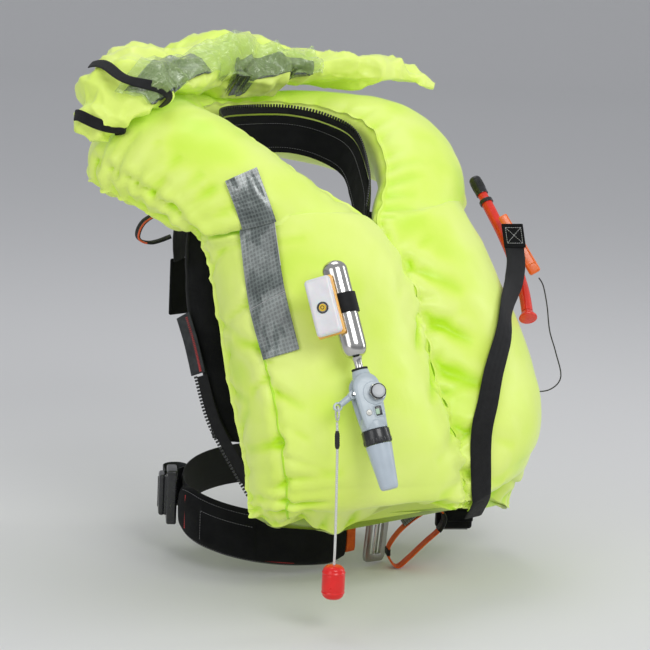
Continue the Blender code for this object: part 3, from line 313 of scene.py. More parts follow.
def reflective_sheet():
    """Retroreflective tape: grey film over a hexagonal grid, with small dots, wear and creases."""
    n = Nodes("reflective_sheet")
    place = n.coords(uv=True)
    cells = n.add("ShaderNodeTexVoronoi", Vector=place, Scale=215, Randomness=0.0)
    grid = n.math("GREATER_THAN", cells.outputs["Distance"], 0.37)
    patches = n.noise(n.coords(), 55, 5, 0.6)
    shade = n.math("ADD", n.math("MULTIPLY", grid, 0.22), n.math("MULTIPLY", patches, 0.75))
    greys = [(0.3, (0.052, 0.064, 0.060)), (0.55, (0.13, 0.155, 0.145)), (0.8, (0.24, 0.275, 0.26))]
    colour = n.ramp(shade, greys)
    gloss = n.ramp(n.noise(n.coords(), 90, 5, 0.7), [(0.3, (0.16,) * 3), (0.7, (0.42,) * 3)])
    normal = n.bump(grid, 0.10, 0.1 * MM)
    normal = n.bump(n.noise(n.coords(), 75, 5, 0.6), 0.6, 1.8 * MM, normal)
    n.set(Metallic=0.2, Coat_Weight=0.8, Coat_Roughness=0.12)
    return n.finish(colour, gloss, normal)


def clear_film():
    """Crumpled clear vinyl: almost colourless, very glossy."""
    n = Nodes("clear_film")
    place = n.coords()
    normal = n.bump(n.noise(place, 70, 6, 0.6), 0.8, 2.5 * MM)
    n.set(Base_Color=(0.52, 0.72, 0.24, 1), Roughness=0.05, Alpha=0.26, IOR=1.5, Specular_IOR_Level=1.0,
          Coat_Weight=1.0, Coat_Roughness=0.02)
    return n.finish(None, None, normal)


def translucent_lens():
    """Milky lens plastic that lets some light through."""
    n = Nodes("translucent_lens")
    place = n.coords()
    colour = n.ramp(n.noise(place, 60, 3), [(0.3, (0.70, 0.70, 0.72)), (0.7, (0.80, 0.79, 0.80))])
    n.set(Roughness=0.28, Subsurface_Weight=0.35, Subsurface_Scale=0.01, Coat_Weight=0.3, Coat_Roughness=0.1)
    return n.finish(colour, None, n.bump(n.noise(place, 1200, 2), 0.08, 0.1 * MM))


def thread(name, colour):
    """Sewing thread, a little uneven in shade."""
    n = Nodes(name)
    place = n.coords()
    shade = n.ramp(n.noise(place, 900, 2), [(0.3, tuple(c * 0.7 for c in colour)), (0.7, colour)])
    n.set(Roughness=0.6, Sheen_Weight=0.3)
    return n.finish(shade, None, n.bump(n.noise(place, 1500, 2), 0.4, 0.2 * MM))


def braid(name, dark, pale):
    """Round braided cord: two sets of strands that cross on a slant."""
    n = Nodes(name)
    parts = n.add("ShaderNodeSeparateXYZ", Vector=n.coords())
    rise = math.tau / (1.6 * MM)
    round_it = n.math("ADD", parts.outputs[0], parts.outputs[1])
    one = n.math("SINE", n.math("MULTIPLY", n.math("ADD", parts.outputs[2], round_it), rise))
    two = n.math("SINE", n.math("MULTIPLY", n.math("SUBTRACT", parts.outputs[2], round_it), rise))
    height = n.math("MAXIMUM", one, two)
    # The strands are painted darker where they dip between crossings: painted shade.
    colour = n.ramp(height, [(0.1, dark), (0.8, pale)])
    n.set(Roughness=0.7, Sheen_Weight=0.3)
    return n.finish(colour, None, n.bump(height, 0.6, 0.25 * MM))


PLASTICS = {                               # colour, roughness, variation, clear coat, grain
    "weld": ((0.50, 0.86, 0.02), 0.3, 0.05, 0.2),
    "black_plastic": ((0.012, 0.013, 0.014), 0.3, 0.2, 0.25),
    "grey_plastic": ((0.46, 0.53, 0.57), 0.34, 0.05, 0.1),
    "light_grey_plastic": ((0.46, 0.53, 0.59), 0.36, 0.05),
    "rubber": ((0.014, 0.014, 0.015), 0.7, 0.2, 0.0, 0.4),
    "white_plastic": ((0.82, 0.83, 0.82), 0.4, 0.03),
    "cap_plastic": ((0.50, 0.52, 0.53), 0.35, 0.03),
    "indicator_green": ((0.42, 0.60, 0.42), 0.4),
    "light_orange": ((0.95, 0.50, 0.08), 0.3, 0.05, 0.4),
    "button_yellow": ((0.80, 0.52, 0.03), 0.4),
    "red_plastic": ((0.78, 0.010, 0.008), 0.34, 0.06, 0.08),
    "tube_red": ((0.78, 0.03, 0.012), 0.24, 0.06, 0.4),
    "orange_plastic": ((0.92, 0.16, 0.008), 0.3, 0.05, 0.2),
}
METALS = {                                 # colour, roughness, scratches, how they are drawn out
    "steel": ((0.62, 0.61, 0.58), 0.13, 0.25, (1, 1, 0.2)),
    "stamped_steel": ((0.42, 0.42, 0.39), 0.38, 0.5, (1, 1, 0.15)),
    "brass_stem": ((0.55, 0.5, 0.42), 0.25),
}
WEBBINGS = {                               # dark colour, pale colour, pitch of the ribs
    "black_webbing": ((0.0015, 0.0015, 0.002), (0.008, 0.0085, 0.0095)),
    "grey_webbing": ((0.012, 0.013, 0.015), (0.055, 0.06, 0.065)),
    "orange_webbing": ((0.62, 0.07, 0.004), (0.95, 0.17, 0.012), 1.2 * MM),
}
BRAIDS = {                                 # dark colour, pale colour
    "white_cord": ((0.45, 0.46, 0.43), (0.80, 0.81, 0.77)),
    "black_cord": ((0.004, 0.004, 0.004), (0.02, 0.02, 0.02)),
}
THREADS = {                                # colour
    "white_thread": ((0.55, 0.55, 0.55),),
    "grey_thread": ((0.16, 0.16, 0.17),),
    "orange_thread": ((0.85, 0.12, 0.03),),
    "red_thread": ((0.65, 0.03, 0.03),),
}


def make_materials():
    made = {
        "signal_fabric": coated_fabric("coated_fabric"),
        "hood_fabric": coated_fabric("hood_fabric", 1.03),
        "reflective": reflective_sheet(),
        "clear_film": clear_film(),
        "black_cloth": black_cloth(),
        "translucent_lens": translucent_lens(),
    }
    tables = ((plastic, PLASTICS), (metal, METALS), (webbing, WEBBINGS), (braid, BRAIDS), (thread, THREADS))
    for maker, table in tables:
        for name, look in table.items():
            made[name] = maker(name, *look)
    return made


MAT = make_materials()


# ---- Mesh helpers -----------------------------------------------------------------------------------
def smooth(values, t):
    """The value at place t on a smooth curve through the values, which stand at 0, 1, 2 and so on."""
    last = len(values) - 1
    t = min(max(t, 0.0), float(last))
    i = min(int(t), last - 1)
    u = t - i
    a, b, c, d = (values[min(max(k, 0), last)] for k in (i - 1, i, i + 1, i + 2))
    return 0.5 * (2 * b + (c - a) * u + (2 * a - 5 * b + 4 * c - d) * u**2 + (3 * b - a - 3 * c + d) * u**3)


def curve_points(route, steps):
    points = [Vector(p) for p in route]
    return [smooth(points, (len(points) - 1) * k / steps) for k in range(steps + 1)]


def angles(count):
    return [math.tau * k / count for k in range(count)]


def heading(points, k):
    """The way a line of points runs at point k, at no set length."""
    return points[min(k + 1, len(points) - 1)] - points[max(k - 1, 0)]


def toward(vector, way):
    """The vector, or its opposite where that lies nearer to way."""
    return vector if vector.dot(way) > 0 else -vector


def mm(*points):
    """Points in metres, from points in millimetres."""
    return [tuple(value * MM for value in point) for point in points]


def shifted(place, x, y, z):
    """A frame moved along its own axes by millimetres."""
    return place @ Matrix.Translation((x * MM, y * MM, z * MM))


def bind(obj, body, node):
    """Lets a piece ride on a body, and hides the CAD node that it stands for, if one is named."""
    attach(obj, body)
    if node:
        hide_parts(node)


class Shape:
    """Collects shells for one piece."""

    def __init__(self):
        self.vertices, self.faces, self.uvs = [], [], []

    def loft(self, rings, closed=False, uvs=None):
        count = len(rings[0])
        start = len(self.vertices)
        self.vertices += [Vector(p) for ring in rings for p in ring]
        self.uvs += [uv for ring in uvs for uv in ring] if uvs else [(0, 0)] * (count * len(rings))
        spans = len(rings) if closed else len(rings) - 1
        for r in range(spans):
            low, high = start + r * count, start + (r + 1) % len(rings) * count
            for k in range(count):
                n = (k + 1) % count
                self.faces.append((low + k, low + n, high + n, high + k))
        if not closed:
            self.faces.append(tuple(start + k for k in reversed(range(count))))
            self.faces.append(tuple(start + (len(rings) - 1) * count + k for k in range(count)))
        return self

    def turned(self, profile, place, sides=48, axis="Z"):
        """A solid or ring of revolution from (radius, height) points, placed by a 4x4 matrix."""
        turn = Matrix.Rotation(math.radians(90), 4, "X") if axis == "Y" else Matrix.Identity(4)
        whole = place @ turn
        solid = profile[0][0] == 0 and profile[-1][0] == 0
        if solid:
            rings = [[whole @ Vector((r * math.cos(a), r * math.sin(a), z)) for a in angles(sides)]
                     for r, z in profile[1:-1]]
            return self.loft(rings)
        rings = [[whole @ Vector((r * math.cos(a), r * math.sin(a), z)) for r, z in profile]
                 for a in angles(sides)]
        return self.loft(rings, closed=True)

    def rounded_box(self, size, place, radius, steps=4):
        """A box with round edges, as rings stacked along its local Y; size and radius are in millimetres."""
        half, radius = Vector(size) / 2 * MM, radius * MM
        rings = []
        for side in (-1, 1):
            for k in range(steps + 1)[::-side]:
                a = math.radians(90 * k / steps)
                inset = radius * (1 - math.sin(a))
                y = side * (half.y - radius * (1 - math.cos(a)))
                rings.append((inset, y))
        made = []
        for inset, y in rings:
            corners = round_corners(2 * half.x, 2 * half.z, radius, radius - inset, steps)
            made.append([place @ Vector((x, y, z)) for x, z in corners])
        return self.loft(made)

    def make(self, name, mat, node=None, body="jacket", sharp=40, slot=None):
        """The shells as one piece on a body, which may stand for a CAD node; sharp is in degrees."""
        mesh = bpy.data.meshes.new(name)
        mesh.from_pydata([tuple(v) for v in self.vertices], [], self.faces)
        mesh.validate()
        mesh.shade_smooth()
        mesh.set_sharp_from_angle(angle=math.radians(sharp))
        mesh.materials.append(MAT[mat])
        layer = mesh.uv_layers.new(name="metres")
        flat = np.array([self.uvs[loop.vertex_index] for loop in mesh.loops], dtype=np.float32)
        layer.data.foreach_set("uv", flat.ravel())
        obj = add_object(name, mesh)
        bind(obj, body, node)
        return obj


def round_corners(width, height, radius, reach, steps):
    """The outline of a rectangle with its corners' centres radius inside it and their arcs reach wide."""
    points = []
    for cx, cz, start in ((1, 1, 0), (-1, 1, 90), (-1, -1, 180), (1, -1, 270)):
        for k in range(steps + 1):
            a = math.radians(start + 90 * k / steps)
            points.append((cx * (width / 2 - radius) + reach * math.cos(a),
                           cz * (height / 2 - radius) + reach * math.sin(a)))
    return points


def solid_of(points):
    """A profile closed at both ends on the axis."""
    return [(0, points[0][1])] + points + [(0, points[-1][1])]


def band_profile(inner, outer, low, high, closed=True):
    """The (radius, height) corners of a ring with a square section, from millimetres."""
    corners = mm((inner, low), (outer, low), (outer, high), (inner, high))
    return corners + corners[:1] if closed else corners


def rounded_profile(points, radius, steps=3):
    """The (radius, height) points with each corner rounded to a radius in millimetres."""
    out = []
    for k, point in enumerate(points):
        here = Vector(point)
        if k in (0, len(points) - 1):
            out.append(tuple(here))
            continue
        before, after = Vector(points[k - 1]), Vector(points[k + 1])
        a = here + (before - here).normalized() * min(radius * MM, (before - here).length / 2.2)
        b = here + (after - here).normalized() * min(radius * MM, (after - here).length / 2.2)
        for j in range(steps + 1):
            u = j / steps
            out.append(tuple(a * (1 - u) ** 2 + here * 2 * u * (1 - u) + b * u**2))
    return out


SOFT = 60                                  # degrees: soft goods shade smoothly over edges below this angle


def strap_shape(shape, route, normals, width, thickness, closed=False, across=8, ripple=0.0):
    """A woven strap with round edges; ripple waves its surface a little."""
    radius = thickness / 2
    section = [(1 - 2 * k / across, 1) for k in range(across + 1)]
    section += [(2 * k / across - 1, -1) for k in range(across + 1)]
    rings, uvs = [], []
    length = 0.0
    for k, point in enumerate(route):
        after = route[(k + 1) % len(route)] if closed or k + 1 < len(route) else point
        before = route[k - 1] if closed or k else point
        if k:
            length += (point - route[k - 1]).length
        along = (after - before).normalized()
        normal = (normals[k] - along * normals[k].dot(along)).normalized()
        side = along.cross(normal)
        ring, uv = [], []
        for share, face in section:
            thin = 0.45 if abs(share) > 0.99 else 1.0
            wave = ripple * noise.noise((point + side * share * width) * 90)
            ring.append(point + side * (share * width / 2) + normal * (face * radius * thin + wave))
            uv.append((length, share * width / 2))
        rings.append(ring)
        uvs.append(uv)
    return shape.loft(rings, closed, uvs)


def strap(name, route, normals, width, thickness, mat, steps=0, node=None, ripple=0.0, slot=None):
    """A strap as a piece of its own; steps asks for a smooth curve through the route's points."""
    if steps:
        route, normals = curve_points(route, steps), curve_points(normals, steps)
    shape = strap_shape(Shape(), route, normals, width, thickness, ripple=ripple)
    return shape.make(name, mat, node, sharp=SOFT, slot=slot)


def stitch_row(shape, points, pitch=3.2 * MM, length=2.2 * MM, radius=0.35 * MM):
    """A row of stitches along a line of points, each a short rounded thread."""
    travelled, due = 0.0, pitch / 2
    for a, b in zip(points, points[1:]):
        step = (b - a).length
        while step > 0 and due <= travelled + step:
            centre = a.lerp(b, (due - travelled) / step)
            along = (b - a).normalized()
            u = along.orthogonal().normalized()
            v = along.cross(u)
            rings = []
            for share, wide in ((-0.5, 0.35), (-0.3, 0.9), (0.0, 1.0), (0.3, 0.9), (0.5, 0.35)):
                middle = centre + along * share * length
                rings.append([middle + (u * math.cos(t) + v * math.sin(t)) * radius * wide
                              for t in angles(6)])
            shape.loft(rings)
            due += pitch
        travelled += step
    return shape


def stitches(name, rows, mat, slot="black_webbing", **sizes):
    shape = Shape()
    for row in rows:
        stitch_row(shape, [Vector(p) for p in row], **sizes)
    shape.make(name, mat, sharp=SOFT, slot=slot)


def tube_shape(shape, points, radius, sides=14):
    """A round bar along points, with a frame that turns as little as it can."""
    rings = []
    side = None
    for k, point in enumerate(points):
        along = heading(points, k).normalized()
        side = along.orthogonal() if side is None else side - along * side.dot(along)
        side.normalize()
        other = along.cross(side)
        wide = radius(k / (len(points) - 1)) if callable(radius) else radius
        rings.append([point + (side * math.cos(a) + other * math.sin(a)) * wide for a in angles(sides)])
    return shape.loft(rings)


def turning(origin, right, up):
    """A frame whose X looks right, Z looks up and -Y looks out."""
    up = Vector(up).normalized()
    back = up.cross(Vector(right)).normalized()
    right = back.cross(up)
    return Matrix.Translation(Vector(origin)) @ Matrix((right, back, up)).transposed().to_4x4()


# ---- Cords ------------------------------------------------------------------------------------------
EYE = Vector(JOINTS["cord_hang"]["pos_m"])
LOOP_RADIUS, LOOP_WIRE = 7.6 * MM, 1.1 * MM
LOOP_CENTRE = EYE - UP * (LOOP_RADIUS - 0.4 * MM)
CORD_RADIUS = 1.4 * MM
CORD_START = LOOP_CENTRE - UP * (LOOP_RADIUS + LOOP_WIRE + 0.9 * MM)
CORD_ROUTE = [(0, 0, 0), (-3, -4, -12), (-6, -8, -30), (-10, -13, -60), (-13, -17, -95), (-14.5, -19, -125),
              (-15, -19.5, -152)]
LANYARD_RADIUS = 0.8 * MM
LANYARD_ROUTE = [(0.2282, -0.1910, -0.0498), (0.2325, -0.1955, -0.0600), (0.2390, -0.1980, -0.0850),
                 (0.2430, -0.2010, -0.1150), (0.2500, -0.2070, -0.1420), (0.2540, -0.2140, -0.1720),
                 (0.2440, -0.2060, -0.1880), (0.2280, -0.1880, -0.1920), (0.2160, -0.1720, -0.1920)]


def cord_curve(name, points, radius, mat, node, body="jacket"):
    curve = bpy.data.curves.new(name, "CURVE")
    curve.dimensions = "3D"
    curve.bevel_depth = radius
    curve.bevel_resolution = 4
    curve.use_fill_caps = True
    spline = curve.splines.new("POLY")
    spline.points.add(len(points) - 1)
    for k, point in enumerate(points):
        spline.points[k].co = (*point, 1.0)
    curve.materials.append(MAT[mat])
    obj = add_object(name, curve)
    bind(obj, body, node)
    return obj


TOGGLE_RADIUS, TOGGLE_LENGTH = 12.5 * MM, 38 * MM


def toggle():
    """The barrel-shaped handle, ribbed round its ends."""
    end = CORD_START + Vector(CORD_ROUTE[-1]) * MM
    profile = []
    for k in range(41):
        share = k / 40
        edge = min(share, 1 - share) * TOGGLE_LENGTH
        round_off = math.sqrt(max(0.0, 1 - max(0.0, 1 - edge / (9 * MM)) ** 2))
        rib = 0.35 * MM * math.cos(math.tau * share * 10) if 0.1 < share < 0.3 or 0.7 < share < 0.9 else 0.0
        wide = max(2 * MM, TOGGLE_RADIUS * (0.42 + 0.58 * round_off)) + rib
        profile.append((wide, -0.3 * MM - share * (TOGGLE_LENGTH - 0.6 * MM)))
    shape = Shape().turned(solid_of(profile), Matrix.Translation(end))
    return shape.make("toggle_handle", "red_plastic", "pull_toggle", "cord")


def cord_sleeve(points):
    """The ribbed rubber sleeve that holds the cord's loop shut."""
    run = [p for p in points if -24 * MM > p.z - EYE.z > -46 * MM]
    line = [run[0].lerp(run[-1], k / 40) for k in range(41)]

    def radius(share):
        taper = min(1.0, 0.62 + 2.2 * min(share, 1 - share))
        return (2.7 * taper + 0.22 * math.sin(share * math.tau * 8)) * MM

    return tube_shape(Shape(), line, radius, 18).make(
        "sleeve_grip", "rubber", "cord_sleeve", "cord", SOFT)


def cord_ring():
    """The cord's loop through the lever's eye."""
    back = -Vector(JOINTS["lever_pull"]["axis"])
    out = (back - UP * back.z).normalized()
    across = out.cross(UP)
    rings = []
    for a in angles(40):
        radial = out * math.cos(a) + UP * math.sin(a)
        centre = LOOP_CENTRE + radial * LOOP_RADIUS
        rings.append([centre + (radial * math.cos(b) + across * math.sin(b)) * LOOP_WIRE for b in angles(12)])
    return Shape().loft(rings, closed=True).make(
        "loop_cord", "white_cord", "cord_loop", "cord")


WHISTLE_TOP, WHISTLE_FOOT = Vector((0.2130, -0.1390, 0.0226)), Vector((0.2270, -0.1880, -0.0459))


def whistle():
    """The pealess whistle: a flat body with two side channels, a mouthpiece and a lug for its lanyard."""
    place = turning((WHISTLE_TOP + WHISTLE_FOOT) / 2, (0.7, -0.7, 0), WHISTLE_TOP - WHISTLE_FOOT)
    length = (WHISTLE_TOP - WHISTLE_FOOT).length / MM
    shape = Shape()
    shape.rounded_box((14.6, 7.6, length * 0.66), shifted(place, 0, 0, -length * 0.15), 2.6)
    shape.rounded_box((11.5, 5.8, length * 0.34), shifted(place, 0, 0, length * 0.31), 2.2)
    for side in (-1, 1):
        shape.rounded_box((2.2, 9.2, length * 0.5), shifted(place, side * 5.4, 0, -length * 0.12), 1)
    for z in (-0.34, 0.08):
        shape.rounded_box((13, 9, 2), shifted(place, 0, 0, length * z), 0.9)
    shape.make("whistle_body", "orange_plastic", "whistle")


def cords():
    points = curve_points([CORD_START + Vector(p) * MM for p in CORD_ROUTE], 38)
    handle = toggle()
    sleeve = cord_sleeve(points)
    ring = cord_ring()
    cord = cord_curve("pull_line", points, CORD_RADIUS, "white_cord", "pull_cord", "cord")
    whistle()
    back = curve_points(LANYARD_ROUTE[::-1], 60)
    lanyard = cord_curve("lanyard_line", back, LANYARD_RADIUS, "black_cord", "whistle_lanyard")


# ---- The bladder ------------------------------------------------------------------------------------
# One row for each place along the right half, from the hem of the lobe to the middle of the nape:
# outer edge, inner edge, bulge of the outward sheet, bulge of the body-side sheet.
BLADDER_HALF = [
    ((-0.188, -0.138, -0.306), (-0.018, -0.283, -0.292), 0.003, 0.003),
    ((-0.196, -0.128, -0.292), (-0.006, -0.284, -0.278), 0.046, 0.030),
    ((-0.197, -0.122, -0.266), (-0.003, -0.280, -0.256), 0.076, 0.045),
    ((-0.197, -0.106, -0.215), (-0.003, -0.264, -0.205), 0.100, 0.050),
    ((-0.191, -0.071, -0.135), (-0.003, -0.222, -0.125), 0.101, 0.034),
    ((-0.183, -0.045, -0.060), (-0.003, -0.190, -0.045), 0.088, 0.022),
    ((-0.182, -0.020, 0.005), (-0.006, -0.128, 0.022), 0.080, 0.022),
    ((-0.208, 0.000, 0.022), (-0.068, -0.080, 0.070), 0.078, 0.026),
    ((-0.228, 0.045, 0.045), (-0.108, -0.015, 0.118), 0.068, 0.030),
    ((-0.225, 0.115, 0.062), (-0.105, 0.050, 0.135), 0.050, 0.038),
    ((-0.155, 0.178, 0.075), (-0.070, 0.095, 0.142), 0.038, 0.034),
    ((0.000, 0.196, 0.085), (0.000, 0.112, 0.142), 0.032, 0.030),
]
ROWS_PER_PLACE = 20
AROUND = 180
EDGE_SHARPNESS = 1.1
OUTER_SEAM = 131.0           # degrees: the weld between the lobe's front and its side
LOBE_TOP = 6.4               # the place where a lobe ends and the shoulder starts


def whole_bladder():
    right = [(Vector(o), Vector(i), f, g) for o, i, f, g in BLADDER_HALF]
    mirror = Vector((-1, 1, 1))
    return right + [(outer * mirror, inner * mirror, f, g) for outer, inner, f, g in right[-2::-1]]


BLADDER = whole_bladder()
BLADDER_END = len(BLADDER) - 1
BLADDER_ROWS = BLADDER_END * ROWS_PER_PLACE + 1


def bladder_frame(t):
    outer, inner, front, back = (smooth([row[k] for row in BLADDER], t) for k in range(4))
    step = 0.05
    ends = []
    for place in (max(t - step, 0.0), min(t + step, BLADDER_END)):
        ends.append(sum((smooth([row[k] for row in BLADDER], place) for k in (0, 1)), Vector()) / 2)
    across = (inner - outer).normalized()
    outward = across.cross(ends[1] - ends[0]).normalized()
    return outer, inner, max(front, 2 * MM), max(back, 2 * MM), outward


def bell(x, width):
    return math.exp(-(x / width) ** 2)


def plain_skin():
    """The smooth skin by row and column, and the direction that each row's bulge faces."""
    places = np.zeros((BLADDER_ROWS, AROUND, 3))
    facing = np.zeros((BLADDER_ROWS, 1, 3))
    depth = np.zeros((BLADDER_ROWS, AROUND))
    for r in range(BLADDER_ROWS):
        outer, inner, front, back, outward = bladder_frame(r / ROWS_PER_PLACE)
        facing[r, 0] = outward
        for k, a in enumerate(angles(AROUND)):
            c, s = math.cos(a), math.sin(a)
            bulge = (front if s >= 0 else -back) * abs(s) ** EDGE_SHARPNESS
            depth[r, k] = abs(bulge)
            places[r, k] = (outer + inner) / 2 + (inner - outer) / 2 * c + outward * bulge
    return places, facing, depth


def at_skin(places, t, degrees):
    r = min(max(round(t * ROWS_PER_PLACE), 0), BLADDER_ROWS - 1)
    return places[r, round(degrees % 360 / 360 * AROUND) % AROUND]


def pucker_list():
    """Creases on one lobe: where each starts and ends, its width and its depth in millimetres."""
    made = []
    seams = ((1, 1, 5.5, 1.0), (179, -1, 5.5, 1.1), (OUTER_SEAM - 2, -1, 6.2, 0.8),
             (OUTER_SEAM + 2, 1, 6.2, 1.2), (359, -1, 5.0, 0.6), (181, 1, 5.0, 0.6))
    for seam, way, width, depth in seams:
        t = 0.8 + 0.4 * random.random()
        while t < 6.5:
            reach = way * (12 + 26 * random.random() ** 1.5)
            drift = 0.5 * (random.random() - 0.5)
            made.append((t, seam, t + drift, seam + reach, width * (0.55 + 0.5 * random.random()),
                         depth * (3.5 + 6.0 * random.random())))
            t += 0.34 + 0.5 * random.random()
    for t in (6.2, 6.5, 6.75, 7.05, 7.3, 7.65, 7.95, 8.3, 8.7):
        made.append((t, 184, t + 0.25 * (random.random() - 0.3), 108 + 20 * random.random(), 6.5, 12.5))
        made.append((t + 0.12, 150, t + 0.12, 178, 5.0, 10.0))
        made.append((t - 0.04, 152, t + 0.1, 104, 5.0, 11.0))
        made.append((t + 0.1, 2, t + 0.2 * random.random(), 26 + 20 * random.random(), 6.0, 2.4))
    for t in (2.2, 3.1, 3.9, 4.6, 5.3):
        made.append((t, 3, t - 0.55, 34 + 14 * random.random(), 7.5, 9.0))
    for k in range(9):
        degrees = 14 + 18 * k + 6 * random.random()
        made.append((0.1, degrees, 1.0 + 0.7 * random.random(), degrees + 8 * (random.random() - 0.5),
                     7.0, 6.0))
    for t in (9.2, 9.8, 10.4, 10.9):
        made.append((t, 182, t + 0.1, 130, 7.0, 5.0))
        made.append((t + 0.2, 2, t + 0.2, 34, 6.0, 2.2))
    return made


def crease_relief(places, start, end, width, depth):
    """How far one crease moves each point: a sharp valley that fades along it, between soft shoulders."""
    line = end - start
    share = np.clip(((places - start) @ line) / max(line @ line, 1e-9), 0, 1)
    gap = np.linalg.norm(places - start - share[..., None] * line, axis=2)
    fade = (1 - share) ** 0.7
    valley = np.exp(-(gap / width) ** 1.25)
    shoulder = np.exp(-((gap - 2.3 * width) / (1.3 * width)) ** 2)
    return depth * fade * (0.26 * shoulder - valley)


def skin_relief(places, depth):
    relief = np.zeros(places.shape[:2])
    for right in (True, False):
        for t0, d0, t1, d1, width, deep in pucker_list():
            ends = [at_skin(places, t if right else BLADDER_END - t, d) for t, d in ((t0, d0), (t1, d1))]
            relief += crease_relief(places, *ends, width * MM, deep * MM)
        lobe = range(int(0.3 * ROWS_PER_PLACE), int(LOBE_TOP * ROWS_PER_PLACE))
        rows = [k if right else BLADDER_ROWS - 1 - k for k in lobe]
        column = round(OUTER_SEAM / 360 * AROUND)
        for low, high in zip(rows[::6], rows[6::6]):
            relief += 0.62 * crease_relief(places, places[low, column], places[high, column], 6 * MM, 6 * MM)
    for r in range(BLADDER_ROWS):
        for k in range(AROUND):
            point = Vector(places[r, k])
            relief[r, k] += 3.0 * MM * noise.noise(point * 11) + 1.1 * MM * noise.noise(point * 34)
    return np.maximum(relief, -0.42 * depth - 0.4 * MM)


HEM_RIGHT = [9, -4, 7, -9, -11, 4, 20, 20, 16, 8]           # mm by which the hem rises, outer edge to inner
HEM_LEFT = [-36, -34, -24, -13, -7, -2, 2, 3, 2, 0]


def hem_rise(r, k):
    """How far a place near a lobe's hem is drawn up or down."""
    right = r < BLADDER_ROWS / 2
    t = (r if right else BLADDER_ROWS - 1 - r) / ROWS_PER_PLACE
    reach = 1.6 if right else 3.2
    if t > reach:
        return 0.0
    share = (1 - math.cos(math.tau * k / AROUND)) / 2
    rise = smooth(HEM_RIGHT if right else HEM_LEFT, (1 - share) * 9)
    return rise * MM * (1 - t / reach) ** 1.4


HEM_SWING = [48, 46, 38, 24, 8, 0, 0, 0, 0, 0]              # mm by which the left lobe's corner swings out
SWING_WAY = np.array((0.83, -0.55, 0.0))


def hem_swing(r, k):
    t = (BLADDER_ROWS - 1 - r) / ROWS_PER_PLACE
    if t > 3.2:
        return 0.0
    share = (1 - math.cos(math.tau * k / AROUND)) / 2
    return SWING_WAY * smooth(HEM_SWING, (1 - share) * 9) * MM * (1 - t / 3.2) ** 1.2


def bladder_grid():
    """The skin's places and directions straight out as two arrays, and each point's crease depth, for painted
    shade.
    """
    places, facing, depth = plain_skin()
    relief = skin_relief(places, depth)
    made = places + normals_of(places) * relief[..., None]
    for r in range(BLADDER_ROWS):
        t = r / ROWS_PER_PLACE
        wave = math.sin(math.tau * (t * 1.7 + 0.4 * math.sin(t * 2.3))) + 0.6 * math.sin(t * 17 + 1)
        wave *= 0.35 if 6.5 < t < BLADDER_END - 6.5 else 1.0
        for k in range(AROUND):
            d = 360 * k / AROUND
            near = min(d, 360 - d, abs(d - 180))
            made[r, k] += facing[r, 0] * 2.6 * MM * wave * bell(near, 13)
            made[r, k, 2] += hem_rise(r, k)
            made[r, k] += hem_swing(r, k)
    fin = made[:, 0] - made[:, AROUND // 2]
    fin = fin / np.maximum(np.linalg.norm(fin, axis=1, keepdims=True), 1e-9)
    for r in range(int(LOBE_TOP * ROWS_PER_PLACE)):
        rise = math.sin(math.pi * min(1.0, r / ROWS_PER_PLACE / LOBE_TOP)) ** 0.5
        for k in range(AROUND):
            made[r, k] += fin[r] * 13 * MM * rise * bell(360 * k / AROUND - 180, 52)
    made[2:-2, 0] += fin[2:-2] * 4 * MM
    made[2:-2, AROUND // 2] -= fin[2:-2] * 4 * MM
    return made, normals_of(made), np.clip(-relief / (6 * MM), 0, 1)


def normals_of(places):
    ahead = np.concatenate([places[1:], places[-1:]])
    behind = np.concatenate([places[:1], places[:-1]])
    along = ahead - behind
    round_it = np.roll(places, -1, axis=1) - np.roll(places, 1, axis=1)
    out = np.cross(along, round_it)
    return out / np.maximum(np.linalg.norm(out, axis=2, keepdims=True), 1e-9)


def grid_value(grid, t, degrees):
    r = min(max(t * ROWS_PER_PLACE, 0.0), BLADDER_ROWS - 1.001)
    k = (degrees % 360) / 360 * AROUND
    i, j = int(r), int(k)
    u, v = r - i, k - j
    row0, row1 = grid[i], grid[i + 1]
    j, j1 = j % AROUND, (j + 1) % AROUND
    value = (row0[j] * (1 - v) + row0[j1] * v) * (1 - u) + (row1[j] * (1 - v) + row1[j1] * v) * u
    return Vector(value)


SKIN, SKIN_OUT, SKIN_HOLLOW_SHADE = bladder_grid()


def skin_point(t, degrees, lift=0.0):
    return grid_value(SKIN, t, degrees) + grid_value(SKIN_OUT, t, degrees).normalized() * lift


def skin_normal(t, degrees):
    return grid_value(SKIN_OUT, t, degrees).normalized()


def bladder():
    rings = [[Vector(p) for p in row] for row in SKIN]
    skin = Shape().loft(rings).make("bladder_skin", "signal_fabric", "bladder", sharp=75)
    # The crease depth goes to the fabric, which uses it to paint shade into the creases.
    shade = skin.data.attributes.new("hollow_shade", "FLOAT", "POINT")
    shade.data.foreach_set("value", SKIN_HOLLOW_SHADE.astype(np.float32).ravel())
    return skin


def weld_line():
    """The raised bead of the weld along each lobe's side."""
    shape = Shape()
    for first, last in ((0.35, 6.3), (BLADDER_END - 6.3, BLADDER_END - 0.35)):
        steps = 150
        line = [first + (last - first) * k / steps for k in range(steps + 1)]
        route = [skin_point(t, OUTER_SEAM, 0.3 * MM) for t in line]
        normals = [skin_normal(t, OUTER_SEAM) for t in line]
        strap_shape(shape, route, normals, 2.6 * MM, 1.0 * MM, across=4)
    shape.make("weld_bead", "weld", sharp=SOFT, slot="signal_fabric")


# ---- Reflective tape --------------------------------------------------------------------------------
TAPE_ROWS = [(4.05, 108, 3.92, 132), (4.90, 110, 4.72, 136), (5.75, 109, 5.60, 134), (6.60, 89, 6.55, 115),
             (7.20, 70, 7.15, 100)]
TAPE_FACING = Vector((-0.70, -0.62, 0.36)).normalized()
TAPE_WIDTH = 50 * MM


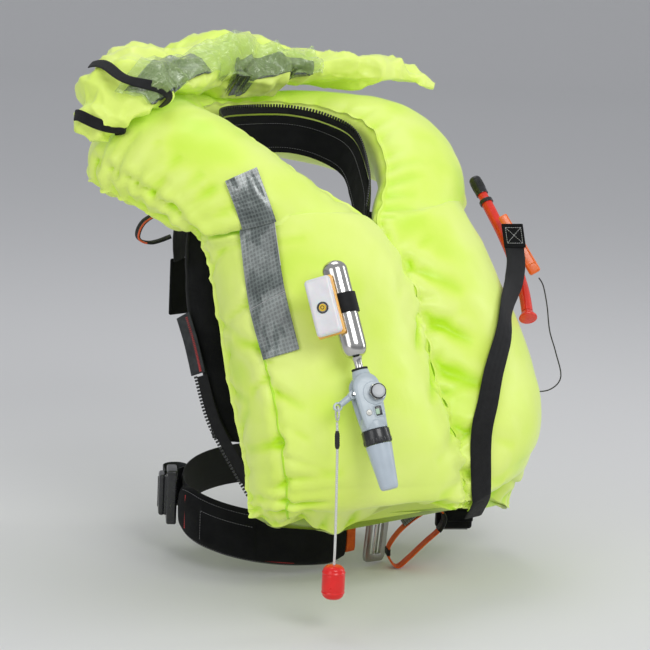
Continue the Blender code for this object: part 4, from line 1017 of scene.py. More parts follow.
def tape(skin):
    """The reflective tape, drawn taut over the skin's hollows, with a line along its edge and one across."""
    tree = BVHTree.FromObject(skin, bpy.context.evaluated_depsgraph_get())
    inner = [skin_point(t, a) for t, a, _, _ in TAPE_ROWS]
    outer = [skin_point(t, a) for _, _, t, a in TAPE_ROWS]
    along, across = 110, 26
    flat = []
    for k in range(along + 1):
        start, end = (smooth(edge, (len(TAPE_ROWS) - 1) * k / along) for edge in (inner, outer))
        flat.append([start.lerp(end, j / across) for j in range(across + 1)])
    height = np.zeros((along + 1, across + 1))
    for k, row in enumerate(flat):
        for j, point in enumerate(row):
            hit = tree.ray_cast(point + TAPE_FACING * 0.3, -TAPE_FACING)[0]
            height[k, j] = (hit - point).dot(TAPE_FACING)
    height = bridged(height)
    rings, uvs = [], []
    length = 0.0
    for k, row in enumerate(flat):
        length += (row[across // 2] - flat[max(k - 1, 0)][across // 2]).length
        low, uv = [], []
        for j, point in enumerate(row):
            lift = 1.0 * MM + 2.2 * MM * max(0.0, noise.noise(Vector((length * 30, j * 0.11, 0.4))))
            low.append(point + TAPE_FACING * (height[k, j] + lift))
            uv.append((length, TAPE_WIDTH * j / across))
        rings.append(low + [p + TAPE_FACING * 0.5 * MM for p in reversed(low)])
        uvs.append(uv + uv[::-1])
    Shape().loft(rings, uvs=uvs).make("tape_sheet", "reflective", "reflective_tape", sharp=SOFT)
    edge = [rings[k][-1] + TAPE_FACING * 0.35 * MM for k in range(12, 62)]
    seam = [p + TAPE_FACING * 0.25 * MM for p in rings[26][across + 1:]]
    line = Shape()
    tube_shape(line, edge[24:], 0.45 * MM, 6)
    tube_shape(line, seam, 0.28 * MM, 6)
    line.make("tape_edge_lines", "white_thread", sharp=SOFT, slot="reflective_sheet")


def bridged(height, rounds=260):
    """A sheet's height once it is drawn taut over hollows, never sinking below what it lies on."""
    floor = height.copy()
    for _ in range(rounds):
        wide = np.pad(height, 1, mode="edge")
        mean = (wide[2:, 1:-1] + wide[:-2, 1:-1] + wide[1:-1, 2:] + wide[1:-1, :-2]) / 4
        height = np.maximum(floor, mean)
    return height


# ---- The folded hood --------------------------------------------------------------------------------
HOOD_ROWS = [
    ((-0.250, 0.074, 0.112), 0.010, 0.010),
    ((-0.246, 0.077, 0.132), 0.034, 0.024),
    ((-0.214, 0.080, 0.163), 0.060, 0.036),
    ((-0.160, 0.100, 0.185), 0.064, 0.034),
    ((-0.085, 0.118, 0.186), 0.064, 0.036),
    ((0.000, 0.126, 0.188), 0.062, 0.034),
    ((0.085, 0.118, 0.186), 0.060, 0.032),
    ((0.160, 0.086, 0.184), 0.056, 0.028),
    ((0.208, 0.046, 0.180), 0.042, 0.024),
    ((0.244, 0.010, 0.168), 0.010, 0.008),
]
HOOD_LAST = len(HOOD_ROWS) - 1
HOOD_FLATNESS = 0.45


def hood_point(t, degrees, lift=0.0):
    centre, depth, height = (smooth([(Vector(r[0]), r[1], r[2])[k] for r in HOOD_ROWS], t) for k in range(3))
    step = 0.05
    ahead = smooth([Vector(r[0]) for r in HOOD_ROWS], t + step)
    behind = smooth([Vector(r[0]) for r in HOOD_ROWS], t - step)
    along = (ahead - behind).normalized()
    back = UP.cross(along).normalized()
    rise = along.cross(back)
    a = math.radians(degrees)
    under = HOOD_FLATNESS + (1 - HOOD_FLATNESS) * bell(t - 5.2, 2.4)
    height *= 1.0 if math.sin(a) > 0 else under
    return centre - back * math.cos(a) * (depth + lift) + rise * math.sin(a) * (height + lift)


def crumple(point, size, depth):
    """Facets with sharp creases between them, as crushed cloth has."""
    near = noise.voronoi(point / size)[0]
    return depth * (near[1] - near[0])


HOOD_PEAKS = [(2.6, 85, 0.004), (4.6, 75, 0.011), (5.0, 60, 0.006), (6.9, 60, 0.006), (7.9, 40, 0.012)]


def ridged(point, scale):
    """Noise with sharp ridges: 1 on a ridge, towards 0 between them."""
    return 1 - 2 * abs(noise.noise(point * scale))


def hood_relief(t, degrees, point):
    d = degrees if degrees <= 180 else degrees - 360
    drawn = Vector((point.x * 1.0, point.y * 0.6 + point.z * 0.5, point.z * 0.9))
    relief = 13 * MM * (ridged(drawn + Vector((0.31, 0, 0)), 13) - 0.8)
    relief += 9 * MM * (ridged(drawn + Vector((0, 0.2, 0.1)), 27) - 0.8)
    relief -= crumple(point, 34 * MM, 9 * MM) - 2 * MM
    relief += 1.2 * MM * noise.noise(point * 90)
    for place, at, lift in HOOD_PEAKS:
        relief += lift * bell(t - place, 0.5) * bell(d - at, 42)
    return relief


def hood():
    """The spray hood: a fat roll of crushed cloth behind the neck, relaxed by a short simulation."""
    steps, sides = 230, 110
    rings = []
    for k in range(steps + 1):
        t = HOOD_LAST * k / steps
        ring = []
        for j in range(sides):
            degrees = 360 * j / sides
            base = hood_point(t, degrees)
            taper = min(1.0, 0.25 + 1.4 * min(t, HOOD_LAST - t))
            ring.append(hood_point(t, degrees, taper * max(-0.02, hood_relief(t, degrees, base))))
        rings.append(ring)
    cloth = Shape().loft(rings).make("hood_cloth", "hood_fabric", "spray_hood", sharp=180)
    settle(cloth)
    return cloth


def settle(cloth, frames=12, cap=3.5 * MM):
    """Lets the crushed cloth relax in a short simulation, and keeps each point near its start."""
    start = [v.co.copy() for v in cloth.data.vertices]
    change = cloth.modifiers.new("settle", "CLOTH")
    change.settings.quality = 6
    change.settings.mass = 0.12
    change.settings.tension_stiffness = 18
    change.settings.compression_stiffness = 18
    change.settings.bending_stiffness = 0.03
    change.settings.shrink_min = -0.06
    change.settings.use_pressure = True
    change.settings.uniform_pressure_force = 0.6
    change.settings.effector_weights.gravity = 0.3
    change.collision_settings.use_collision = False
    scene = bpy.context.scene
    for number in range(1, frames + 1):
        scene.frame_set(number)
    shaped = cloth.evaluated_get(bpy.context.evaluated_depsgraph_get()).to_mesh()
    moved = [v.co.copy() for v in shaped.vertices]
    cloth.modifiers.remove(change)
    for vertex, old, new in zip(cloth.data.vertices, start, moved):
        shift = new - old
        vertex.co = old + shift * min(1.0, cap / max(shift.length, 1e-9))
    scene.frame_set(1)


def laid_on(tree, rows, along, across, lift, ruffle, thickness, facing):
    """A sheet pressed onto a surface: rows of corner points are joined smoothly and dropped onto it."""
    rings, uvs = [], []
    for k in range(along + 1):
        place = (len(rows) - 1) * k / along
        edge = [smooth([row[n] for row in rows], place) for n in range(2)]
        low, uv = [], []
        for j in range(across + 1):
            point = edge[0].lerp(edge[1], j / across)
            hit = tree.ray_cast(point + facing * 0.09, -facing)[0] or point
            wave = ruffle * (1.1 - 1.6 * abs(noise.noise(hit * 38))) + crumple(hit, 17 * MM, ruffle * 0.8)
            low.append(hit + facing * (lift + max(0.0, wave)))
            uv.append((k / along * 0.1, j / across * 0.05))
        rings.append(low + [p + facing * thickness for p in reversed(low)])
        uvs.append(uv + uv[::-1])
    return rings, uvs


HOOD_FACING = Vector((-0.25, -0.75, 0.62)).normalized()


def hood_window(cloth):
    """The clear window crushed into the hood, with the grey reflective patches behind it."""
    tree = BVHTree.FromObject(cloth, bpy.context.evaluated_depsgraph_get())
    patches = (("hood_patch_right", (1.75, 3.55), (-6, 52), "hood_reflector"),
               ("hood_patch_left", (4.35, 6.1), (-14, 24), None))
    for name, (first, last), (low, high), node in patches:
        rows = []
        for k in range(5):
            t = first + (last - first) * k / 4
            bow = 8 * math.sin(math.pi * k / 4)
            rows.append((hood_point(t, low - 0.3 * bow), hood_point(t, high + bow)))
        rings, uvs = laid_on(tree, rows, 60, 26, 0.6 * MM, 2.0 * MM, 0.5 * MM, HOOD_FACING)
        Shape().loft(rings, uvs=uvs).make(name, "reflective", node, sharp=SOFT, slot="reflective_sheet")
    rows = []
    for k in range(7):
        t = 1.6 + 4.7 * k / 6
        rows.append((hood_point(t, -18), hood_point(t, 60 + 10 * math.sin(k * 2.2))))
    rings, uvs = laid_on(tree, rows, 190, 56, 3.0 * MM, 6.0 * MM, 0.5 * MM, HOOD_FACING)
    Shape().loft(rings, uvs=uvs).make("window_film", "clear_film", "hood_window", sharp=180)


def hood_elastics():
    """The flat elastics that bind the hood's folded end."""
    steps = 40
    elastics = ((1.9, -30, 120, "hood_elastic"), (0.75, -60, 130, None))
    for number, (t, first, last, node) in enumerate(elastics):
        route, normals = [], []
        for k in range(steps + 1):
            degrees = first + (last - first) * k / steps
            route.append(hood_point(t + 0.12 * math.sin(k * 0.2), degrees, 4.0 * MM))
            normals.append(hood_point(t, degrees, 0.02) - hood_point(t, degrees))
        strap(f"hood_binding_{number}", route, normals, 13 * MM, 1.6 * MM, "black_webbing", node=node,
              slot="black_fabric")


# ---- Cover and collar -------------------------------------------------------------------------------
COVER_LEVELS = [
    ((-0.143, 0.036, 0.012), (-0.137, 0.004, 0.012), (-0.118, -0.016, 0.012)),
    ((-0.158, 0.020, -0.035), (-0.154, -0.012, -0.035), (-0.126, -0.036, -0.035)),
    ((-0.164, 0.006, -0.090), (-0.158, -0.024, -0.090), (-0.126, -0.052, -0.090)),
    ((-0.170, -0.028, -0.150), (-0.156, -0.050, -0.150), (-0.118, -0.076, -0.150)),
    ((-0.166, -0.050, -0.200), (-0.150, -0.072, -0.200), (-0.112, -0.096, -0.200)),
    ((-0.160, -0.066, -0.226), (-0.146, -0.084, -0.226), (-0.110, -0.104, -0.226)),
]
ZIP_EDGE = [(-0.1735, -0.032, -0.153), (-0.170, -0.052, -0.203), (-0.161, -0.086, -0.252),
            (-0.150, -0.112, -0.292)]
ZIP_WIDTH = 14 * MM


def sided(point, side):
    return Vector((point[0] * -side, point[1], point[2]))


def cover(side, node):
    """One side of the pack cover, with the binding along its front edge."""
    steps, across = 90, 30
    rings, rims = [], []
    for k in range(steps + 1):
        place = (len(COVER_LEVELS) - 1) * k / steps
        line = [smooth([Vector(level[n]) for level in COVER_LEVELS], place) for n in range(3)]
        middle = [sided(smooth(line, 2 * j / across), side) for j in range(across + 1)]
        out = []
        for j, point in enumerate(middle):
            normal = heading(middle, j).cross(UP).normalized()
            wave = 2.0 * MM * noise.noise(point * 26) + 0.8 * MM * noise.noise(point * 70)
            thick = 1.5 * MM * (0.55 if j in (0, across) else 1.0)
            out.append((point + normal * (thick + wave), point - normal * (thick - wave)))
        rings.append([a for a, _ in out] + [b for _, b in reversed(out)])
        rims.append((out[0][0] + out[0][1]) / 2)
    Shape().loft(rings).make(f"{node}_cloth", "black_cloth", node, sharp=SOFT)
    binding = strap_shape(Shape(), rims, [Vector((side, 0.2, 0))] * len(rims), 7 * MM, 3.8 * MM, across=4)
    binding.make(f"{node}_binding", "black_webbing", sharp=SOFT, slot="black_webbing")


TOOTH = (2.5, 2.4, 4.0)                    # mm along, out of and across the tape
TOOTH_PITCH = 3.9 * MM


def teeth(name, route, across, facing):
    """A row of moulded zip teeth along a route; across points out of the tape's edge."""
    shape = Shape()
    travelled, due = 0.0, 0.0
    for k, (a, b) in enumerate(zip(route, route[1:])):
        step = (b - a).length
        while due <= travelled + step:
            centre = a.lerp(b, (due - travelled) / step)
            along = (b - a).normalized()
            out = (across[k] - along * across[k].dot(along)).normalized()
            place = Matrix.Translation(centre + out * TOOTH[2] * MM * 0.4)
            place = place @ Matrix((along, facing[k].normalized(), out)).transposed().to_4x4()
            shape.rounded_box(TOOTH, place, 0.5, 2)
            due += TOOTH_PITCH
        travelled += step
    shape.make(name, "black_plastic", sharp=SOFT, slot="black_fabric")


def side_zip(side, node):
    route = [sided(p, side) + Vector((side * 3.5 * MM, 0, 0)) for p in ZIP_EDGE]
    normal = Vector((side, -0.35, 0)).normalized()
    line = curve_points(route, 70)
    normals = [normal] * len(line)
    strap(f"{node}_cloth", line, normals, ZIP_WIDTH, 1.4 * MM, "black_webbing", node=node)
    across = [toward(heading(line, k).cross(normal).normalized(), BACKWARD) for k in range(len(line))]
    edges = [point + out * ZIP_WIDTH / 2 for point, out in zip(line, across)]
    teeth(f"{node}_teeth", edges, across, normals)


TAB_ROUTE = [(-0.1700, 0.0115, -0.0900), (-0.1735, -0.0060, -0.1150), (-0.1765, -0.0190, -0.1370),
             (-0.1775, -0.0260, -0.1520)]


def side_tab():
    """The flat tab sewn on the right edge of the cover, with red bar tacks down it."""
    normal = Vector((-1, -0.30, 0.05)).normalized()
    line = curve_points(TAB_ROUTE, 40)
    strap("side_tab", line, [normal] * len(line), 19 * MM, 2 * MM, "grey_webbing", slot="black_webbing")
    shape = Shape()
    for k in range(3, 38):
        out = toward(heading(line, k).normalized().cross(normal).normalized(), -BACKWARD)
        tack = [line[k] + out * shift + normal * 1.3 * MM for shift in (2.5 * MM, 5.5 * MM)]
        stitch_row(shape, tack, 4 * MM, 3.4 * MM, 0.5 * MM)
    shape.make("side_tab_tacks", "red_thread", sharp=SOFT, slot="orange_webbing")


COLLAR_TOP = [
    (-0.012, -0.100, 0.012), (-0.034, -0.084, 0.040), (-0.060, -0.056, 0.066), (-0.088, -0.004, 0.104),
    (-0.085, 0.042, 0.120), (-0.057, 0.077, 0.128), (0.000, 0.091, 0.129),
]
COLLAR_HEIGHT, COLLAR_SLOPE = 44 * MM, 14 * MM      # how far its foot lies below and inside its top


def collar_route():
    right = [Vector(p) for p in COLLAR_TOP]
    return right + [p * Vector((-1, 1, 1)) for p in right[-2::-1]]


def inward_from(point):
    away = Vector((0, 0.01, 0)) - point
    away.z = 0
    return away.normalized()


def collar():
    top = collar_route()
    steps, down = 160, 14
    rings = []
    for k in range(steps + 1):
        point = smooth(top, (len(top) - 1) * k / steps)
        inward = inward_from(point)
        share = min(1.0, 8 * min(k, steps - k) / steps)
        foot = point + inward * COLLAR_SLOPE * share - UP * COLLAR_HEIGHT * (0.35 + 0.65 * share)
        front, back = [], []
        for j in range(down + 1):
            place = point.lerp(foot, j / down)
            wave = (1.6 * MM * noise.noise(place * 34) + 0.7 * MM * noise.noise(place * 80)) * min(1, j / 3)
            thick = 1.5 * MM * (0.5 if j in (0, down) else 1)
            front.append(place + inward * (thick + wave))
            back.append(place - inward * (thick - wave))
        rings.append(front + back[::-1])
    Shape().loft(rings).make("collar_cloth", "black_cloth", "cover_collar", sharp=SOFT)
    rows = []
    for drop in (0.22, 0.86):
        row = []
        for k in range(6, steps - 5):
            point = smooth(top, (len(top) - 1) * k / steps)
            inward = inward_from(point)
            foot = point + inward * COLLAR_SLOPE - UP * COLLAR_HEIGHT
            row.append(point.lerp(foot, drop) + inward * 2.3 * MM)
        rows.append(row)
    stitches("collar_stitching", rows, "grey_thread", slot="black_fabric")


def neck_zip():
    top = collar_route()
    first, last, steps = 4.2, 11.4, 120
    route, normals = [], []
    for k in range(steps + 1):
        point = smooth(top, first + (last - first) * k / steps)
        inward = inward_from(point)
        route.append(point - inward * 0.8 * MM + UP * (6 * MM))
        normals.append(inward)
    strap("neck_zip_cloth", route, normals, 8 * MM, 1.4 * MM, "black_webbing", node="zip_tape_neck")
    across = [toward(heading(route, k).cross(normals[k]).normalized(), UP) for k in range(steps + 1)]
    edge = [p + a * 4 * MM for p, a in zip(route, across)]
    teeth("neck_zip_teeth", edge, across, normals)


# ---- Harness ----------------------------------------------------------------------------------------
STRAP_ROUTE = [
    (-0.088, -0.050, -0.044), (-0.088, -0.022, -0.010), (-0.090, 0.020, 0.018), (-0.088, 0.060, 0.028),
    (-0.080, 0.096, 0.018), (-0.068, 0.122, -0.010), (-0.054, 0.136, -0.044),
]
STRAP_NORMALS = [
    (-0.3, -0.8, 0.5), (-0.3, -0.5, 0.8), (-0.2, 0, 1), (-0.1, 0.3, 1), (0, 0.8, 0.7), (0, 1, 0.2), (0, 1, 0),
]
SHOULDER_WIDTH, BACK_WIDTH = 42 * MM, 40 * MM
BACK_Y, YOKE_Z = 0.1385, -0.083
YOKE_SIZE = (150, 5, 70)                   # millimetres
BACK_ROUTE = [(0, BACK_Y, -0.120), (0, BACK_Y - 3 * MM, -0.170), (0, 0.125, -0.230), (0, 0.113, -0.275)]
WEBBING = 2.2 * MM


def edge_rows(route, normals, width, lift, inset=2.5 * MM):
    """Two lines near a strap's edges, for its stitching."""
    rows = [[], []]
    for k, point in enumerate(route):
        along = heading(route, k)
        normal = (normals[k] - along.normalized() * normals[k].dot(along.normalized())).normalized()
        side = along.cross(normal).normalized()
        for row, way in zip(rows, (1, -1)):
            row.append(point + side * way * (width / 2 - inset) + normal * lift)
    return rows


def harness():
    rows = []
    for node, side in (("shoulder_strap_right", -1), ("shoulder_strap_left", 1)):
        route = curve_points([sided(p, side) for p in STRAP_ROUTE], 70)
        normals = curve_points([sided(n, side) for n in STRAP_NORMALS], 70)
        strap(f"{node}_webbing", route, normals, SHOULDER_WIDTH, 4 * MM, "black_webbing", node=node,
              ripple=0.4 * MM)
        rows += edge_rows(route, normals, SHOULDER_WIDTH, 2.2 * MM)
    pad = Shape().rounded_box(YOKE_SIZE, Matrix.Translation((0, BACK_Y + 2 * MM, YOKE_Z)), 2.4, 5)
    pad.make("back_yoke_pad", "black_cloth", "back_yoke", sharp=SOFT)
    for inset in (4, 9):
        x, z = (YOKE_SIZE[0] / 2 - inset) * MM, (YOKE_SIZE[2] / 2 - inset) * MM
        corners = ((-1, -1), (1, -1), (1, 1), (-1, 1), (-1, -1))
        rows.append([Vector((cx * x, BACK_Y + 4.7 * MM, YOKE_Z + cz * z)) for cx, cz in corners])
    route = curve_points(BACK_ROUTE, 50)
    normals = [Vector((0, 1, 0.1))] * len(route)
    strap("back_strap_webbing", route, normals, BACK_WIDTH, WEBBING, "black_webbing", node="back_strap")
    rows += edge_rows(route, normals, BACK_WIDTH, 1.3 * MM)
    stitches("harness_stitching", rows, "grey_thread")


LOOP_ROUTE = [(-0.152, 0.052, 0.016), (-0.166, 0.062, 0.022), (-0.182, 0.072, 0.012), (-0.186, 0.076, -0.006),
              (-0.172, 0.068, -0.012), (-0.154, 0.054, -0.004)]
LOOP_NORMALS = [(-0.2, 0.2, 1), (-0.5, 0.3, 0.8), (-0.9, 0.4, 0.3), (-0.8, 0.4, -0.6), (0.3, -0.2, -1),
                (0.6, -0.4, -0.8)]


def shoulder_loop():
    """The bound loop on the right shoulder with its bright piping."""
    strap("shoulder_loop_webbing", LOOP_ROUTE, LOOP_NORMALS, 16 * MM, 3 * MM, "black_webbing", 50,
          "shoulder_loop", 0.3 * MM)
    line = curve_points(LOOP_ROUTE, 50)
    out = Vector((-0.55, -0.80, 0)).normalized()
    piping = tube_shape(Shape(), [p + out * 8.6 * MM for p in line[4:38]], 1.2 * MM, 10)
    piping.make("shoulder_piping", "orange_thread", sharp=SOFT, slot="orange_webbing")


# ---- Waist belt -------------------------------------------------------------------------------------
WAIST_HALF_WIDTH, WAIST_HALF_DEPTH = 0.142, 0.102
BELT_Z, BELT_TILT, BELT_WIDTH = -0.332, 0.22, 50 * MM
PAD_OUT, PAD_THICKNESS = WEBBING + 1.5 * MM, 9 * MM


def belt_point(degrees, out=0.0, up=0.0):
    a = math.radians(degrees)
    x = (WAIST_HALF_WIDTH + out) * math.sin(a)
    y = -(WAIST_HALF_DEPTH + out) * math.cos(a)
    return Vector((x, y, BELT_Z + BELT_TILT * y + up))


def belt_out(degrees):
    a = math.radians(degrees)
    return Vector((math.sin(a) / WAIST_HALF_WIDTH, -math.cos(a) / WAIST_HALF_DEPTH, 0)).normalized()


def band(first, last, out, width, thickness, steps):
    """A strap round the waist between two angles in degrees, lying out from the belt's own line."""
    places = [first + (last - first) * k / steps for k in range(steps + 1)]
    route = [belt_point(d, out + thickness / 2) for d in places]
    return strap_shape(Shape(), route, [belt_out(d) for d in places], width, thickness)


def waist_belt():
    belt = band(-2, -314, 0.0, BELT_WIDTH, WEBBING, 260)
    belt.make("belt_webbing", "black_webbing", "waist_belt", sharp=SOFT)
    rows = []
    for up in (-19 * MM, 19 * MM):
        rows.append([belt_point(d, WEBBING + 0.5 * MM, up) for d in range(-312, -125)])
    stitches("belt_stitching", rows, "grey_thread")
    belt_sleeve()
    tab = band(-1.5, 4.0, PAD_OUT, 38 * MM, 4 * MM, 16)
    tab.make("end_tab_webbing", "orange_webbing", "belt_end_tab", sharp=SOFT)


def sleeve_half_height(degrees):
    """Half the padded sleeve's height, which tapers towards both ends."""
    ends = min(1.0, (degrees + 106) / 14, (-4 - degrees) / 10)
    return (25 + 6 * math.sin(math.radians(90 * max(0.0, ends)))) * MM


def belt_sleeve():
    """The padded sleeve: quilted cloth with a bound edge, a raised pocket and a bright stitch line."""
    steps, across = 150, 20
    rings = []
    for k in range(steps + 1):
        degrees = -106 + 102 * k / steps
        high = sleeve_half_height(degrees)
        front, back = [], []
        for j in range(across + 1):
            share = 1 - 2 * j / across
            crown = (1 - share**4) ** 0.5
            point = belt_point(degrees, 0, share * high)
            pocket = 1.5 * MM if -84 < degrees < -52 and -0.72 < share < 0.55 else 0.0
            wave = 0.8 * MM * noise.noise(point * 45)
            out = belt_out(degrees)
            swell = 2.5 * MM + (PAD_THICKNESS - 2.5 * MM) * crown
            front.append(point + out * (PAD_OUT + swell + pocket + wave))
            back.append(point + out * (PAD_OUT + 1.2 * MM * (1 - crown)))
        rings.append(front + back[::-1])
    pad = Shape().loft(rings).make("sleeve_pad", "black_cloth", "belt_sleeve", sharp=SOFT)
    lift = PAD_OUT + PAD_THICKNESS + 0.6 * MM
    line = [belt_point(-98, lift - 1.2 * MM, up * MM) for up in range(-20, 21)]
    shape = Shape()
    stitch_row(shape, line, 2.4 * MM, 2.2 * MM, 0.65 * MM)
    run = [belt_point(d, lift - 3.0 * MM, -25 * MM) for d in range(-46, -30)]
    stitch_row(shape, run, 2.4 * MM, 2.2 * MM, 0.5 * MM)
    shape.make("sleeve_accent_stitching", "red_thread", sharp=SOFT, slot="orange_webbing")
    rows = []
    for side in (-1, 1):
        rows.append([belt_point(d, PAD_OUT + 7.3 * MM, side * (sleeve_half_height(d) - 4 * MM))
                     for d in range(-103, -6)])
    x0, x1, z0, z1 = -83.0, -53.0, -20 * MM, 15 * MM
    box = [belt_point(x0, lift + 1.6 * MM, z0 + (z1 - z0) * k / 20) for k in range(21)]
    box += [belt_point(x0 + (x1 - x0) * k / 20, lift + 1.6 * MM, z1) for k in range(21)]
    rows.append(box)
    stitches("sleeve_stitching", rows, "grey_thread", slot="black_fabric")


ADJUSTER_PIVOT = Vector(JOINTS["adjuster_lever_open"]["pos_m"])
ADJUSTER_OUT_WAY = belt_out(-121)


TAIL_ROUTE = [(-22, -2, 0), (-34, 9, 1), (-50, 19, 2), (-62, 11, 2), (-58, -3, 2), (-42, -8, 0), (-26, -7, 0)]


def adjuster():
    """The cam adjuster: a frame, and a lever pad with a rolled edge and finger ribs."""
    pivot = turning(ADJUSTER_PIVOT, UP.cross(ADJUSTER_OUT_WAY), UP)
    middle = shifted(pivot, -4, 5, 0)
    shape = Shape()
    for z in (-29.5, 29.5):
        shape.rounded_box((36, 12, 7), shifted(middle, 0, 0, z), 2.4)
    for x in (-14.5, 14.5):
        shape.rounded_box((7, 12, 60), shifted(middle, x, 0, 0), 2.4)
    shape.make("adjuster_body", "black_plastic", "adjuster_frame")
    shape = Shape()
    shape.rounded_box((28, 7.8, 50), shifted(pivot, -11, -6.5, 0), 3.6, 6)
    shape.turned(rounded_profile(solid_of(mm((4.8, -23.8), (4.8, 23.8))), 0.8), pivot, 28)
    for k in range(4):
        shape.rounded_box((1.2, 1.6, 36), shifted(pivot, -21 + 2.6 * k, -10.4, 0), 0.5, 2)
    shape.make("adjuster_cam", "black_plastic", "adjuster_lever", "adjuster_lever")
    tail = [middle @ Vector(p) for p in mm(*TAIL_ROUTE)]
    centre = sum(tail, Vector()) / len(tail)
    normals = [(p - centre) * Vector((1, 1, 0)) for p in tail]
    strap("belt_tail", tail, normals, 46 * MM, WEBBING, "grey_webbing", 80, "adjuster_tail", 0.6 * MM)


def plate_shape(shape, place, outer, hole, depth, corner, hole_corner, steps=8, round_over=0.8):
    """A flat plate with a slot and rolled edges, in millimetres, as a ring of sections round the slot."""
    half = depth / 2
    rows = []
    for width, height, radius, way in ((*outer, corner, 1), (*hole, hole_corner, -1)):
        for k in range(5):
            a = way * math.radians(-90 + 45 * k)
            inset = way * round_over * (1 - math.cos(a))
            y = 0.0 if k == 2 else math.copysign(half - round_over, a) + round_over * math.sin(a)
            corners = round_corners(width, height, radius, max(radius - inset, 0.2), steps)
            rows.append([(x, y, z) for x, z in corners])
    rings = [[place @ (Vector(point) * MM) for point in section] for section in zip(*rows)]
    return shape.loft(rings, closed=True)


def buckle():
    hinge = JOINTS["buckle_swing"]
    place = turning(hinge["pos_m"], UP.cross(belt_out(15)), hinge["axis"])
    plate = plate_shape(Shape(), place, (46, 68), (24, 50), 4, 9, 3.5)
    plate.make("buckle_plate", "stamped_steel", "steel_buckle", "buckle", 50)
    bar = Shape().rounded_box((9, 3, 60), shifted(place, 7, 4.2, 0), 1.2)
    bar.make("buckle_cross_bar", "steel", "buckle_bar", "buckle")


TETHER_OUTLINE = [(13.7, -371), (15.6, -383.4), (25.8, -393.4), (38.8, -383.4), (58.6, -363.5), (76.1, -346),
                  (80.3, -331), (69.9, -321.3), (50.7, -328.8), (31.9, -343.7), (19.4, -359)]
TETHER_START = Vector((0.030, -0.127, 0))
TETHER_ALONG = Vector((0.8, -0.6, 0))


def tether_point(outline):
    return TETHER_START + TETHER_ALONG * outline[0] * MM + UP * outline[1] * MM


def outward_normals(route, facing):
    """Directions in the loop's plane that look away from its middle."""
    middle = sum(route, Vector()) / len(route)
    normals = []
    for k, point in enumerate(route):
        along = route[(k + 1) % len(route)] - route[k - 1]
        normals.append(toward(along.cross(facing).normalized(), point - middle))
    return normals


SLEEVE_OUTLINE = [(33, -344.5), (41, -337.5), (50, -330.5), (58, -326.5)]


def tether():
    """The bright tether loop with its two dark bands and the sewn sleeve along its top."""
    corners = [tether_point(p) for p in TETHER_OUTLINE]
    wrapped = corners[-2:] + corners + corners[:3]
    steps = 150
    route = [smooth(wrapped, 2 + len(corners) * k / steps) for k in range(steps)]
    facing = TETHER_ALONG.cross(UP)
    normals = outward_normals(route, facing)
    loop = strap_shape(Shape(), route, normals, 17 * MM, 2.4 * MM, closed=True, ripple=0.25 * MM)
    loop.make("tether_webbing", "orange_webbing", "tether_loop", sharp=SOFT)
    bands = Shape()
    for part in (slice(0, 9), slice(66, 88)):
        strap_shape(bands, route[part], normals[part], 18.6 * MM, 4.6 * MM)
    bands.make("tether_bands", "black_webbing", sharp=SOFT, slot="black_webbing")
    run = [tether_point(p) for p in SLEEVE_OUTLINE]
    above = toward((run[-1] - run[0]).normalized().cross(-facing).normalized(), UP)
    run = [p + above * 5.1 * MM for p in run]
    strap("tether_sleeve_cloth", run, [above] * 4, 20 * MM, 3 * MM, "grey_webbing", 40, "tether_sleeve")
    line = curve_points(run, 40)
    offsets = [(shift, 1.8) for shift in (-7.5, -2.5, 2.5, 7.5)]
    offsets += [(-10.2 * way, lift) for way in (1, -1) for lift in (-0.8, 0.8)]
    rows = [[p + facing * shift * MM + above * lift * MM for p in line] for shift, lift in offsets]
    stitches("tether_stitching", rows, "white_thread", pitch=3 * MM, radius=0.4 * MM)


def pouch():
    """The small pouch under the lobe, with a flap and a pale label edge."""
    place = turning((0.118, -0.170, -0.338), TETHER_ALONG, UP)
    shape = Shape().rounded_box((44, 15, 25), place, 4, 5)
    shape.rounded_box((45, 4, 15), shifted(place, 0, -6.6, 4.5), 1.8)
    shape.make("pouch_cloth", "black_cloth", "strap_pouch", sharp=SOFT)
    strip = Shape().rounded_box((30, 3, 2), shifted(place, 2, -4, -12.6), 0.8)
    strip.make("pouch_strip", "grey_thread", sharp=SOFT, slot="black_webbing")


# ---- Lift strap -------------------------------------------------------------------------------------
STRAP_LIFT = 4.5 * MM
STRAP_WIDTH = 25 * MM
LIFT_STRAP = [(1.1, 18), (1.7, 16), (2.9, 18), (3.3, 28), (3.6, 38), (4.0, 55), (4.4, 70)]
STRAP_HEAD = [(0.162, -0.206, -0.048), (0.188, -0.187, -0.030), (0.203, -0.170, -0.011),
              (0.208, -0.160, 0.011)]


def smooth_bladder_point(t, degrees):
    """The CAD's bladder without its creases, which the strap lies clear of."""
    outer, inner, front, back, outward = bladder_frame(t)
    c, s = math.cos(math.radians(degrees)), math.sin(math.radians(degrees))
    bulge = front if s >= 0 else -back
    return (outer + inner) / 2 + (inner - outer) / 2 * c + outward * bulge * abs(s) ** EDGE_SHARPNESS


def smooth_bladder_normal(t, degrees):
    along = smooth_bladder_point(t + 0.02, degrees) - smooth_bladder_point(t - 0.02, degrees)
    round_it = smooth_bladder_point(t, degrees + 1) - smooth_bladder_point(t, degrees - 1)
    return along.cross(round_it).normalized()


